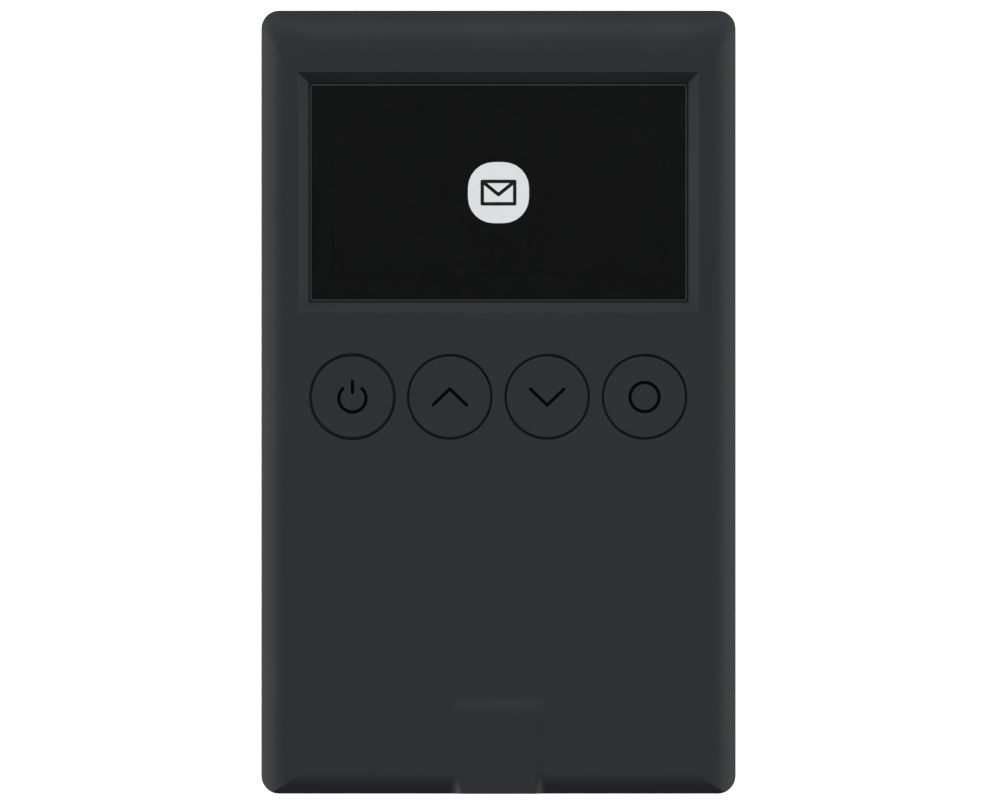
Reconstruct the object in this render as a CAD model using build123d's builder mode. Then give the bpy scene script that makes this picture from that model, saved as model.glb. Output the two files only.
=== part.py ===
from build123d import *
import math
import os

os.makedirs("parts", exist_ok=True)

# The device lies on its back: z = 0 is the back face, +Z is the front, +Y is the top end. Millimetres.

# ---- case ----
body_width = 56.7
body_height = 93.6
body_depth = 5.6            # back face to front face; the port boss stands above it
plan_corner = 2.15
face_corner = 3.2           # corner of the flat front face where the rolls meet
back_corner = 1.4
side_roll_width = 4.8       # rolled edge of the front, along the sides and the top
side_roll_depth = 2.5
foot_roll_width = 2.5       # tighter roll along the bottom edge
foot_roll_depth = 1.4
back_roll_width = 2.6
back_roll_depth = 1.6
side_wall = 1.2
front_wall = 1.0
back_wall = 0.8
parting_height = 2.35
lip_thickness = 0.5
lip_height = 0.5
lip_clearance = 0.1
reveal = 0.12               # groove around the parting line
hollow_corner = 3.0
weld = 0.2                  # how far an added feature runs into its wall

# ---- port boss and receptacle ----
boss_rise = 0.4
boss_top_half = 3.465
boss_foot_half = 6.1
boss_length = 11.8          # along the case, ramp included
boss_ramp = 2.2
boss_sink = 0.06            # how far the boss's foot runs in under the face
flank_turn = 2.4            # over which the flanks turn steeper towards the bottom edge
port_height = 3.2           # middle of the opening above the back face
shell_width = 8.94
shell_thick = 3.26
shell_length = 7.35
shell_wall = 0.3
shell_setback = 0.3
port_clearance = 0.15

# ---- window and display ----
lens_width = 45.03
lens_length = 25.92
lens_thickness = 0.5
lens_chamfer = 0.2
lens_corner = 0.3
lens_gap = 0.18
window_drop = 21.77         # from the top end to the middle of the window
bevel_run = 1.26
bevel_depth = 0.95
ledge_width = 1.68
ledge_thickness = 0.35
tape_thickness = 0.1
frame_wall = 1.2
gasket_thickness = 0.2
polariser_thickness = 0.12
glass_thickness = 0.4
flex_thickness = 0.12

# ---- keys ----
key_diameter = 9.72
key_pitch = 11.63
key_count = 4
key_drop = 24.43            # from the middle of the window to the key row
key_gap = 0.24              # between a cap and its hole
power_key_gap = 0.32
key_travel = 0.25
key_flange_extra = 0.84
key_flange_thickness = 0.45
key_flange_clearance = 0.05
key_top_thickness = 0.9
key_edge_round = 0.15
dish_depth = 0.11
dish_margin = 0.36
icon_stroke = 0.41
icon_depth = 0.08
plunger_radius = 1.1
key_rib_width = 0.8
key_rib_clearance = 0.2
dome_radius = 2.5
dome_height = 0.3
dome_sheet = 0.08
dome_clearance = 0.05

# ---- boards and their parts ----
board_thickness = 0.8
board_side_gap = 0.95       # from the inner wall
board_top_gap = 1.3
board_below_keys = 10.1
port_board_width = 24.0
port_board_length = 10.4
port_board_gap = 0.6        # from the inner wall
part_floor = 0.1            # kept free between the back wall and the tallest part under the board
socket_height = 0.6
plug_height = 0.5
link_x = 0.0
link_width = 8.0
link_length = 2.4

# ---- screws ----
cover_screw_side = 4.95     # in from the side of the case
cover_screw_end = 4.2
cover_shank = 0.78
cover_head = 1.35
cover_hole = 0.9
insert_radius = 1.2
insert_bore = 0.8
insert_length = 1.5
boss_radius = 1.9
board_screw_side = 2.0      # in from the edge of the board
board_screw_rise = 2.3
port_screw_side = 2.8
port_screw_rise = 4.5
small_shank = 0.68
small_head = 1.25
small_head_height = 0.6
small_boss_radius = 1.5
small_screw_length = 1.7

# ---- battery ----
cell_width = 44.6
cell_length = 21.5
cell_thickness = 3.0
cell_side_gap = 2.15        # from the inner wall
cell_end_gap = 0.5          # from the port board
guard_length = 2.2          # strip board across the end of the cell

# ---- motor and sounder ----
motor_side_gap = 4.55       # from the inner wall to the middle of the motor
motor_rise = 4.1            # from the lower end of the cell
motor_length = 8.0
motor_radius = 1.6
shaft_radius = 0.3
shaft_depth = 6.0
shaft_clearance = 0.03
weight_length = 3.2
weight_gap = 0.6
sounder_side_gap = 11.15    # from the inner wall to the middle of the sounder
sounder_above_window = 3.97
sounder_radius = 7.5
sounder_sheet = 0.15
ceramic_radius = 5.5
ceramic_sheet = 0.1

# ---- values worked out from the sizes above ----
half_width = body_width / 2
half_height = body_height / 2
inner_half_width = half_width - side_wall
inner_half_height = half_height - side_wall
window_y = half_height - window_drop
key_y = window_y - key_drop
board_width = 2 * (inner_half_width - board_side_gap)
board_top_y = inner_half_height - board_top_gap
board_low_y = key_y - board_below_keys
port_board_low_y = -inner_half_height + port_board_gap
port_board_top_y = port_board_low_y + port_board_length
cover_screw_x = half_width - cover_screw_side
cover_screw_y = half_height - cover_screw_end
board_screw_x = board_width / 2 - board_screw_side
board_screw_y = board_low_y + board_screw_rise
port_screw_x = port_board_width / 2 - port_screw_side
port_screw_y = port_board_low_y + port_screw_rise
cell_left_x = -inner_half_width + cell_side_gap
cell_low_y = port_board_top_y + cell_end_gap
motor_x = inner_half_width - motor_side_gap
motor_low_y = cell_low_y + motor_rise
sounder_x = -inner_half_width + sounder_side_gap
sounder_y = window_y + sounder_above_window
boss_start_y = -half_height + boss_length
flank_turn_y = -half_height + 1.5 * flank_turn
side_radius = (side_roll_width**2 + side_roll_depth**2) / (2 * side_roll_depth)
foot_radius = (foot_roll_width**2 + foot_roll_depth**2) / (2 * foot_roll_depth)
back_radius = (back_roll_width**2 + back_roll_depth**2) / (2 * back_roll_depth)
ceiling = body_depth - front_wall
boss_top = body_depth + boss_rise
lens_top = body_depth - bevel_depth
lens_low = lens_top - lens_thickness
ledge_top = lens_low - tape_thickness
frame_low = ledge_top - ledge_thickness
substrate_top = frame_low - gasket_thickness
substrate_low = substrate_top - glass_thickness
cap_low = substrate_low - glass_thickness
board_top = cap_low - tape_thickness
board_low = board_top - board_thickness
part_low = back_wall + part_floor
pocket_width = lens_width + 2 * lens_gap
pocket_length = lens_length + 2 * lens_gap
opening_width = pocket_width - 2 * ledge_width
opening_length = pocket_length - 2 * ledge_width
key_radius = key_diameter / 2
flange_radius = key_radius + key_flange_extra
flange_top = ceiling - key_flange_clearance
flange_low = flange_top - key_flange_thickness
dome_top = board_top + dome_height
plunger_low = dome_top + dome_clearance
key_xs = [(i - (key_count - 1) / 2) * key_pitch for i in range(key_count)]
key_rib_y = key_radius + key_gap + power_key_gap
cover_screw_spots = [(sx * cover_screw_x, sy * cover_screw_y) for sx in (-1, 1) for sy in (-1, 1)]
board_screw_spots = [(sx * board_screw_x, board_screw_y) for sx in (-1, 1)]
port_screw_spots = [(sx * port_screw_x, port_screw_y) for sx in (-1, 1)]
small_screw_spots = board_screw_spots + port_screw_spots
insert_low = board_top + 0.1
shell_back_y = -half_height + shell_setback + shell_length
motor_height = (back_wall + ceiling) / 2
boot_radius = (ceiling - back_wall) / 2
cell_low = back_wall + tape_thickness
cell_right_x = cell_left_x + cell_width
cell_top_y = cell_low_y + cell_length
cell_top = cell_low + cell_thickness
link_port_y = port_board_top_y - 1.8
link_main_y = board_low_y + 2.1
plug_top = board_top + socket_height + plug_height


def slab(width, length, low, high, spots=((0, 0),), corner=0.0, mode=Mode.ADD):
    """Flat block between two heights at each spot of the part being built."""
    with BuildSketch(Plane.XY.offset(low)) as outline:
        with Locations(*spots):
            if corner > 0:
                RectangleRounded(width, length, corner)
            else:
                Rectangle(width, length)
    extrude(outline.sketch, amount=high - low, mode=mode)


def post(radius, low, high, spots, mode=Mode.ADD):
    """Upright round post or hole between two heights at each spot."""
    with BuildSketch(Plane.XY.offset(low)) as outline:
        with Locations(*spots):
            Circle(radius)
    extrude(outline.sketch, amount=high - low, mode=mode)


def cone(low, low_radius, high, high_radius, spots, mode=Mode.ADD):
    """Upright cone between two heights at each spot."""
    for spot in spots:
        with BuildSketch(Plane.XY.offset(low)) as wide:
            with Locations(spot):
                Circle(low_radius)
        with BuildSketch(Plane.XY.offset(high)) as narrow:
            with Locations(spot):
                Circle(high_radius)
        loft([wide.sketch, narrow.sketch], mode=mode)


def rod(x, z, low_y, high_y, radius, mode=Mode.ADD):
    """Round bar lying along Y."""
    with BuildSketch(Plane.XZ.offset(-low_y)) as disc:
        with Locations((x, z)):
            Circle(radius)
    extrude(disc.sketch, amount=low_y - high_y, mode=mode)


def ribbon(plane, points, thickness, width, bend):
    """Thin strip bent along a path drawn in the plane, as wide as given across it."""
    with BuildSketch(plane) as profile:
        with BuildLine():
            FilletPolyline(*points, radius=bend)
            offset(amount=thickness / 2, side=Side.BOTH, closed=True)
        make_face()
    extrude(profile.sketch, amount=width / 2, both=True)


def lead(plane, points, radius, bend):
    """Insulated wire bent along a path drawn in the plane."""
    with BuildLine(plane) as path:
        FilletPolyline(*points, radius=bend)
    run = path.line.wires()[0]
    with BuildSketch(Plane(origin=run @ 0, z_dir=run % 0)) as end:
        Circle(radius)
    sweep(end.sketch, path=run)


def foot_face_height(y):
    """Height of the front face near the bottom edge."""
    run = max(0.0, -half_height + foot_roll_width - y)
    return body_depth - foot_radius + math.sqrt(foot_radius**2 - run**2)


# ---------------------------------------------------------------- outer form of the case
roll_steps = 8
beyond = 12.0
front_rings = []
for step in range(roll_steps + 1):
    turn = math.asin(side_roll_width / side_radius) * step / roll_steps
    run_in = side_roll_width - side_radius * math.sin(turn)
    drop = side_radius * (1 - math.cos(turn))
    ring_corner = plan_corner + (face_corner - plan_corner) * run_in / side_roll_width
    with BuildSketch(Plane.XY.offset(body_depth - drop)) as ring:
        with Locations((0, -(run_in + beyond) / 2)):
            RectangleRounded(body_width - 2 * run_in, body_height - run_in + beyond, ring_corner)
    front_rings.append(ring.sketch)

with BuildPart() as front_form:
    loft(front_rings)
    with BuildSketch(Plane.YZ):
        with BuildLine():
            Line((-half_height + foot_roll_width, body_depth), (half_height, body_depth))
            Polyline((half_height, body_depth), (half_height, 0), (-half_height, 0),
                     (-half_height, body_depth - foot_roll_depth))
            TangentArc((-half_height + foot_roll_width, body_depth),
                       (-half_height, body_depth - foot_roll_depth), tangent=(-1, 0))
        make_face()
    extrude(amount=body_width, both=True, mode=Mode.INTERSECT)
    with BuildSketch():
        RectangleRounded(body_width, body_height, plan_corner)
    extrude(amount=body_depth, mode=Mode.INTERSECT)

back_rings = []
for step in range(roll_steps + 1):
    turn = math.asin(back_roll_width / back_radius) * step / roll_steps
    run_in = back_roll_width - back_radius * math.sin(turn)
    rise = back_radius * (1 - math.cos(turn))
    ring_corner = plan_corner + (back_corner - plan_corner) * run_in / back_roll_width
    with BuildSketch(Plane.XY.offset(rise)) as ring:
        RectangleRounded(body_width - 2 * run_in, body_height - 2 * run_in, ring_corner)
    back_rings.append(ring.sketch)


def boss_section(y, top):
    """Section of the port boss at one place along the case, its flanks easing out at top and foot."""
    sunk = boss_foot_half + weld
    edge = min(foot_face_height(y), top + boss_sink) - boss_sink
    firmer = min(1.0, max(0.0, (flank_turn_y - y) / flank_turn))
    reach = (sunk - boss_top_half) * (0.5 + 0.22 * firmer)
    base = body_depth - side_roll_depth
    with BuildSketch(Plane.XZ.offset(-y)) as section:
        with BuildLine():
            Line((-boss_top_half, top), (boss_top_half, top))
            Bezier((boss_top_half, top), (boss_top_half + reach, top), (sunk - reach, edge + boss_sink),
                   (sunk, edge))
            Polyline((sunk, edge), (sunk, base), (-sunk, base), (-sunk, edge))
            Bezier((-sunk, edge), (reach - sunk, edge + boss_sink), (-boss_top_half - reach, top),
                   (-boss_top_half, top))
        make_face()
    return section.sketch


boss_full_y = boss_start_y - boss_ramp
foot_roll_start_y = -half_height + foot_roll_width
foot_steps = 6
ramp_steps = 5
ramp_low = body_depth - 1.5 * boss_sink
ramp_sections = []
for step in range(ramp_steps + 1):
    part_way = step / ramp_steps
    eased = part_way * part_way * (3 - 2 * part_way)
    ramp_sections.append(boss_section(boss_start_y - boss_ramp * part_way,
                                      ramp_low + (boss_top - ramp_low) * eased))

with BuildPart() as case_form:
    add(front_form.part)
    slab(body_width, body_height, back_roll_depth, body_depth - side_roll_depth, corner=plan_corner)
    loft(back_rings)
    loft(ramp_sections)
    loft([boss_section(boss_full_y, boss_top), boss_section(foot_roll_start_y, boss_top)], ruled=True)
    loft([boss_section(foot_roll_start_y - foot_roll_width * i / foot_steps, boss_top)
          for i in range(foot_steps + 1)])


# ---------------------------------------------------------------- hollow inside the case
def roll_end(outer, sign, roll_width, radius):
    """Corners of the hollow at one end of a section, run on a little past where the wall trims it."""
    run = roll_width - side_wall + weld
    low_z = back_radius - math.sqrt((back_radius - back_wall)**2 - (back_roll_width - side_wall + weld)**2)
    high_z = body_depth - radius + math.sqrt((radius - front_wall)**2 - run**2)
    trimmed = outer - sign * (side_wall - weld)
    return [(outer - sign * back_roll_width, back_wall), (trimmed, low_z), (trimmed, high_z),
            (outer - sign * roll_width, ceiling)]


def hollow_section(plane, low_end, high_end):
    """Closed section of the hollow between two ends."""
    with BuildSketch(plane) as section:
        with BuildLine():
            Line(low_end[0], high_end[0])
            TangentArc(high_end[0], high_end[1], tangent=(1, 0))
            Line(high_end[1], high_end[2])
            TangentArc(high_end[3], high_end[2], tangent=(1, 0))
            Line(high_end[3], low_end[3])
            TangentArc(low_end[3], low_end[2], tangent=(-1, 0))
            Line(low_end[2], low_end[1])
            TangentArc(low_end[0], low_end[1], tangent=(-1, 0))
        make_face()
    return section.sketch


side_end = [roll_end(sign * half_width, sign, side_roll_width, side_radius) for sign in (-1, 1)]
foot_end = roll_end(-half_height, -1, foot_roll_width, foot_radius)
head_end = roll_end(half_height, 1, side_roll_width, side_radius)

with BuildPart() as hollow:
    extrude(hollow_section(Plane.XZ, side_end[0], side_end[1]), amount=half_height, both=True)
    extrude(hollow_section(Plane.YZ, foot_end, head_end), amount=half_width, both=True,
            mode=Mode.INTERSECT)
    slab(body_width - 2 * side_wall, body_height - 2 * side_wall, 0, body_depth,
         corner=hollow_corner, mode=Mode.INTERSECT)


def port_cut(clearance, low_y, high_y, mode):
    """Rounded slot the shape of the receptacle, lying along Y."""
    with BuildSketch(Plane.XZ.offset(-low_y)) as slot:
        with Locations((0, port_height)):
            SlotOverall(shell_width + 2 * clearance, shell_thick + 2 * clearance)
    extrude(slot.sketch, amount=low_y - high_y, mode=mode)


# ---------------------------------------------------------------- covers
rim_width = body_width - 2 * side_wall + 2 * lip_thickness
rim_length = body_height - 2 * side_wall + 2 * lip_thickness
window_spot = ((0, window_y),)

with BuildPart() as front_cover:
    add(case_form.part)
    slab(body_width, body_height, parting_height, boss_top, mode=Mode.INTERSECT)
    add(hollow.part, mode=Mode.SUBTRACT)
    slab(rim_width + 2 * lip_clearance, rim_length + 2 * lip_clearance, parting_height,
         parting_height + lip_height + lip_clearance, corner=hollow_corner + lip_thickness,
         mode=Mode.SUBTRACT)
    # window frame, ledge, pocket and bevel
    slab(pocket_width + 2 * frame_wall, pocket_length + 2 * frame_wall, frame_low, ceiling + weld,
         spots=window_spot)
    slab(opening_width, opening_length, frame_low, body_depth, spots=window_spot, mode=Mode.SUBTRACT)
    slab(pocket_width, pocket_length, ledge_top, body_depth, spots=window_spot, corner=lens_corner,
         mode=Mode.SUBTRACT)
    bevel_over = bevel_run * (bevel_depth + weld) / bevel_depth
    with BuildSketch(Plane.XY.offset(lens_top)) as bevel_low:
        with Locations(*window_spot):
            Rectangle(pocket_width, pocket_length)
    with BuildSketch(Plane.XY.offset(body_depth + weld)) as bevel_high:
        with Locations(*window_spot):
            Rectangle(pocket_width + 2 * bevel_over, pocket_length + 2 * bevel_over)
    loft([bevel_low.sketch, bevel_high.sketch], mode=Mode.SUBTRACT)
    # room for the receptacle, and its opening
    slab(shell_width + 1.0, shell_back_y + half_height - side_wall + port_clearance, parting_height,
         port_height + shell_thick / 2 + port_clearance,
         spots=((0, (shell_back_y - half_height + side_wall + port_clearance) / 2),),
         mode=Mode.SUBTRACT)
    port_cut(port_clearance, -half_height, -half_height + side_wall + weld, Mode.SUBTRACT)
    # key holes with an anti-turn rib above and below each
    post(key_radius + power_key_gap, ceiling, body_depth, [(key_xs[0], key_y)], mode=Mode.SUBTRACT)
    post(key_radius + key_gap, ceiling, body_depth, [(x, key_y) for x in key_xs[1:]],
         mode=Mode.SUBTRACT)
    rib_reach = flange_radius + 0.5 - key_rib_y
    slab(key_rib_width, rib_reach, flange_low - key_travel, ceiling + weld,
         spots=[(x, key_y + s * (key_rib_y + rib_reach / 2)) for x in key_xs for s in (-1, 1)])
    # screw bosses
    post(boss_radius, board_top, ceiling, cover_screw_spots)
    post(insert_radius, board_top, insert_low + insert_length, cover_screw_spots, mode=Mode.SUBTRACT)
    post(small_boss_radius, board_top, ceiling - 0.3, small_screw_spots)
    post(small_boss_radius, board_top, ceiling, port_screw_spots)
    post(small_shank + 0.02, board_top, board_low + small_screw_length + 0.3, small_screw_spots,
         mode=Mode.SUBTRACT)
    rim = front_cover.edges().filter_by(GeomType.CIRCLE).filter_by(
        lambda e: abs(e.center().Z - body_depth) < 0.01 and e.radius > key_radius)
    fillet(rim, radius=0.1)
front_cover.part.label = "front_cover"

battery_rib = 0.6
rib_high = parting_height - 0.3
with BuildPart() as back_cover:
    add(case_form.part)
    slab(body_width, body_height, 0, parting_height, mode=Mode.INTERSECT)
    with BuildSketch(Plane.XY.offset(parting_height - reveal)) as groove:
        RectangleRounded(body_width, body_height, plan_corner)
        RectangleRounded(body_width - 2 * reveal, body_height - 2 * reveal, plan_corner - reveal,
                         mode=Mode.SUBTRACT)
    extrude(groove.sketch, amount=reveal, mode=Mode.SUBTRACT)
    slab(rim_width, rim_length, parting_height - weld, parting_height + lip_height,
         corner=hollow_corner + lip_thickness)
    add(hollow.part, mode=Mode.SUBTRACT)
    # posts under the boards and around the lower screws
    post(boss_radius, back_wall - weld, board_low, [(x, y) for x, y in cover_screw_spots if y > 0])
    post(boss_radius, back_wall - weld, board_top, [(x, y) for x, y in cover_screw_spots if y < 0])
    post(cover_hole, 0, board_top, cover_screw_spots, mode=Mode.SUBTRACT)
    cone(0, cover_head + 0.1, cover_head + 0.1 - cover_hole, cover_hole, cover_screw_spots,
         mode=Mode.SUBTRACT)
    # battery bay
    bay_x = cell_right_x + 0.2 + battery_rib / 2
    slab(battery_rib, cell_length - 4, back_wall - weld, rib_high,
         spots=((bay_x, cell_low_y + cell_length / 2),))
    for bay_end in (cell_left_x + 7, port_board_width / 2 + 4):
        slab(6, battery_rib, back_wall - weld, rib_high,
             spots=((bay_end, cell_low_y - 0.2 - battery_rib / 2),))
    # motor cradle
    cradle_ys = (motor_low_y + 1.5, motor_low_y + motor_length - 1.5)
    slab(2 * boot_radius + 1.2, 0.8, back_wall - weld, rib_high, spots=[(motor_x, y) for y in cradle_ys])
    rod(motor_x, motor_height, motor_low_y, motor_low_y + motor_length, boot_radius, mode=Mode.SUBTRACT)
    # locating ring for the sounder
    with BuildSketch(Plane.XY.offset(back_wall - weld)) as seat:
        with Locations((sounder_x, sounder_y)):
            Circle(sounder_radius + 0.8)
            Circle(sounder_radius + 0.1, mode=Mode.SUBTRACT)
    extrude(seat.sketch, amount=weld + 0.4)
    port_cut(port_clearance, -half_height, -half_height + side_wall + weld, Mode.SUBTRACT)
back_cover.part.label = "back_cover"

with BuildPart() as cover_screws:
    cone(0, cover_head, cover_head - cover_shank, cover_shank, cover_screw_spots)
    post(cover_shank, cover_head - cover_shank, insert_low + insert_length - 0.2, cover_screw_spots)
    for turn in (0, 90):
        with BuildSketch() as slot:
            with Locations(*cover_screw_spots):
                Rectangle(1.5, 0.32, rotation=turn)
        extrude(slot.sketch, amount=0.35, mode=Mode.SUBTRACT)
cover_screws.part.label = "cover_screws"

with BuildPart() as thread_inserts:
    post(insert_radius, insert_low, insert_low + insert_length, cover_screw_spots)
    post(insert_bore, insert_low, insert_low + insert_length, cover_screw_spots, mode=Mode.SUBTRACT)
thread_inserts.part.label = "thread_inserts"

# ---------------------------------------------------------------- window and display
with BuildPart() as display_lens:
    slab(lens_width, lens_length, lens_low, lens_top, spots=window_spot, corner=lens_corner)
    chamfer(display_lens.faces().sort_by(Axis.Z)[-1].edges(), length=lens_chamfer)
display_lens.part.label = "display_lens"

with BuildPart() as lens_tape:
    slab(pocket_width - 0.8, pocket_length - 0.8, ledge_top, lens_low, spots=window_spot)
    slab(opening_width + 0.2, opening_length + 0.2, ledge_top, lens_low, spots=window_spot,
         mode=Mode.SUBTRACT)
lens_tape.part.label = "lens_tape"

with BuildPart() as display_gasket:
    slab(pocket_width, pocket_length, substrate_top, frame_low, spots=window_spot)
    slab(opening_width + 0.2, opening_length + 0.2, substrate_top, frame_low, spots=window_spot,
         mode=Mode.SUBTRACT)
display_gasket.part.label = "display_gasket"

with BuildPart() as display_polariser:
    slab(opening_width - 0.2, opening_length - 0.2, substrate_top, substrate_top + polariser_thickness,
         spots=window_spot)
display_polariser.part.label = "display_polariser"

substrate_width = pocket_width + 0.8
substrate_length = pocket_length + 1.5
substrate_low_y = window_y - substrate_length / 2
ledge_for_driver = 3.0
cap_length = substrate_length - ledge_for_driver - 0.5
cap_spot = ((0, substrate_low_y + ledge_for_driver + cap_length / 2),)

with BuildPart() as display_substrate:
    slab(substrate_width, substrate_length, substrate_low, substrate_top, spots=window_spot)
display_substrate.part.label = "display_substrate"

with BuildPart() as display_cap:
    slab(substrate_width - 2.2, cap_length, cap_low, substrate_low, spots=cap_spot)
display_cap.part.label = "display_cap"

with BuildPart() as display_driver:
    slab(11.0, 1.2, substrate_low - 0.3, substrate_low, spots=((0, substrate_low_y + 1.9),))
display_driver.part.label = "display_driver"

connector_top = board_top + 0.8
connector_length = 3.4
connector_low_y = key_y + flange_radius + 0.4
slot_height = board_top + 0.4
slot_end_y = connector_low_y + 1.7
flex_bond = substrate_low - flex_thickness / 2

with BuildPart() as display_flex:
    ribbon(Plane.YZ, [(substrate_low_y + 1.0, flex_bond), (substrate_low_y - 0.15, flex_bond),
                      (connector_low_y + connector_length + 0.2, slot_height),
                      (slot_end_y + flex_thickness / 2, slot_height)],
           flex_thickness, 12.0, 0.15)
display_flex.part.label = "display_flex"

with BuildPart() as display_connector:
    slab(14.0, connector_length, board_top, connector_top,
         spots=((0, connector_low_y + connector_length / 2),), corner=0.3)
    slot_length = connector_low_y + connector_length - slot_end_y
    slab(12.0, slot_length, slot_height - flex_thickness / 2, slot_height + flex_thickness / 2,
         spots=((0, slot_end_y + slot_length / 2),), mode=Mode.SUBTRACT)
display_connector.part.label = "display_connector"

with BuildPart() as display_tape:
    slab(substrate_width - 6, cap_length - 4, board_top, cap_low, spots=cap_spot)
display_tape.part.label = "display_tape"


# ---------------------------------------------------------------- keys
def stroke(start, end):
    """Round-ended line of a key legend."""
    dx, dy = end[0] - start[0], end[1] - start[1]
    with Locations(((start[0] + end[0]) / 2, (start[1] + end[1]) / 2)):
        SlotCenterToCenter(math.hypot(dx, dy), icon_stroke, rotation=math.degrees(math.atan2(dy, dx)))


def loop(radius):
    """Closed ring of a key legend."""
    Circle(radius + icon_stroke / 2)
    Circle(radius - icon_stroke / 2, mode=Mode.SUBTRACT)


def power_icon():
    ring_radius, ring_y, open_from, open_to = 1.63, -0.155, 46, 134
    with Locations((0, ring_y)):
        loop(ring_radius)
        reach = [(3 * math.cos(math.radians(a)), 3 * math.sin(math.radians(a))) for a in (open_from, open_to)]
        Polygon((0, 0), *reach, align=None, mode=Mode.SUBTRACT)
    ends = [(ring_radius * math.cos(math.radians(a)), ring_y + ring_radius * math.sin(math.radians(a)))
            for a in (open_from, open_to)]
    with Locations(*ends):
        Circle(icon_stroke / 2)
    stroke((0, 0.53), (0, 1.86))


def up_icon():
    for side in (-1, 1):
        stroke((side * 2.0, -0.94), (0, 0.98))


def down_icon():
    for side in (-1, 1):
        stroke((side * 2.0, 0.94), (0, -0.98))


def select_icon():
    loop(1.74)


def make_key(x, draw_icon):
    """One key: dished cap, retaining flange, cored underside and a plunger over its dome."""
    spot = [(x, key_y)]
    core_high = body_depth - dish_depth - key_top_thickness
    with BuildPart() as key:
        post(flange_radius, flange_low, flange_top, spot)
        slab(key_rib_width + 2 * key_rib_clearance, 2.0, flange_low, flange_top,
             spots=[(x, key_y + s * (key_rib_y - key_rib_clearance + 1.0)) for s in (-1, 1)],
             mode=Mode.SUBTRACT)
        post(key_radius, flange_low, body_depth, spot)
        fillet(key.faces().sort_by(Axis.Z)[-1].edges(), radius=key_edge_round)
        dish_half = key_radius - dish_margin
        dish_radius = (dish_half**2 + dish_depth**2) / (2 * dish_depth)
        with Locations((x, key_y, body_depth - dish_depth + dish_radius)):
            Sphere(dish_radius, mode=Mode.SUBTRACT)
        post(key_radius - 0.9, flange_low, core_high, spot, mode=Mode.SUBTRACT)
        post(plunger_radius, plunger_low, core_high, spot)
        with BuildSketch(Plane.XY.offset(body_depth - dish_depth - icon_depth)) as icon:
            draw_icon()
        extrude(icon.sketch.moved(Location((x, key_y, 0))), amount=dish_depth + icon_depth,
                mode=Mode.SUBTRACT)
    return key


key_power = make_key(key_xs[0], power_icon)
key_power.part.label = "key_power"
key_up = make_key(key_xs[1], up_icon)
key_up.part.label = "key_up"
key_down = make_key(key_xs[2], down_icon)
key_down.part.label = "key_down"
key_select = make_key(key_xs[3], select_icon)
key_select.part.label = "key_select"


def make_dome(x):
    """Thin snap dome standing on the board."""
    outer = (dome_radius**2 + dome_height**2) / (2 * dome_height)
    with BuildPart() as dome:
        post(dome_radius, board_top, dome_top, [(x, key_y)])
        with Locations((x, key_y, dome_top - outer)):
            Sphere(outer, mode=Mode.INTERSECT)
        with Locations((x, key_y, dome_top - outer)):
            Sphere(outer - dome_sheet, mode=Mode.SUBTRACT)
    return dome


dome_power = make_dome(key_xs[0])
dome_power.part.label = "dome_power"
dome_up = make_dome(key_xs[1])
dome_up.part.label = "dome_up"
dome_down = make_dome(key_xs[2])
dome_down.part.label = "dome_down"
dome_select = make_dome(key_xs[3])
dome_select.part.label = "dome_select"

with BuildPart() as dome_film:
    slab((key_count - 1) * key_pitch + 2 * dome_radius + 2.4, 2 * dome_radius + 2.4, board_top,
         board_top + 0.1, spots=((0, key_y),), corner=1.0)
    post(dome_radius + 0.1, board_top, board_top + 0.1, [(x, key_y) for x in key_xs], mode=Mode.SUBTRACT)
dome_film.part.label = "dome_film"

# ---------------------------------------------------------------- main board
board_middle = ((0, (board_top_y + board_low_y) / 2),)
with BuildPart() as main_board:
    slab(board_width, board_top_y - board_low_y, board_low, board_top, spots=board_middle, corner=1.5)
    post(cover_hole + 0.05, board_low, board_top, [(x, y) for x, y in cover_screw_spots if y > 0],
         mode=Mode.SUBTRACT)
    post(small_shank + 0.12, board_low, board_top, board_screw_spots, mode=Mode.SUBTRACT)
main_board.part.label = "main_board"

with BuildPart() as board_screws:
    post(small_head, board_low - small_head_height, board_low, small_screw_spots)
    post(small_shank, board_low, board_low + small_screw_length, small_screw_spots)
    for turn in (0, 90):
        with BuildSketch(Plane.XY.offset(board_low - small_head_height)) as slot:
            with Locations(*small_screw_spots):
                Rectangle(1.3, 0.3, rotation=turn)
        extrude(slot.sketch, amount=0.3, mode=Mode.SUBTRACT)
board_screws.part.label = "board_screws"

chip_y = key_y + 4.4
processor_spot = ((3.0, chip_y),)
with BuildPart() as processor:
    slab(8.0, 8.0, board_low - 0.75, board_low, spots=processor_spot)
processor.part.label = "processor"

with BuildPart() as memory_chip:
    slab(6.0, 5.0, board_low - 0.7, board_low, spots=((-6.5, chip_y),))
memory_chip.part.label = "memory_chip"

shield_x = 14.0
shield_y = window_y + 4.97
shield_spot = ((shield_x, shield_y),)
shield_width, shield_length, shield_sheet = 15.0, 13.0, 0.15
with BuildPart() as radio_shield:
    slab(shield_width, shield_length, part_low, board_low, spots=shield_spot, corner=0.4)
    slab(shield_width - 2 * shield_sheet, shield_length - 2 * shield_sheet, part_low + shield_sheet,
         board_low, spots=shield_spot, corner=0.25, mode=Mode.SUBTRACT)
    with BuildSketch(Plane.XY.offset(part_low)) as vents:
        with Locations(*shield_spot):
            with GridLocations(2.5, 2.5, 4, 3):
                Circle(0.4)
    extrude(vents.sketch, amount=shield_sheet, mode=Mode.SUBTRACT)
radio_shield.part.label = "radio_shield"

with BuildPart() as radio_chip:
    slab(5.0, 5.0, board_low - 0.6, board_low, spots=((shield_x - 2.5, shield_y),))
radio_chip.part.label = "radio_chip"

with BuildPart() as radio_crystal:
    slab(3.2, 2.5, board_low - 0.6, board_low, spots=((shield_x + 4.0, shield_y),), corner=0.3)
radio_crystal.part.label = "radio_crystal"

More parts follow.
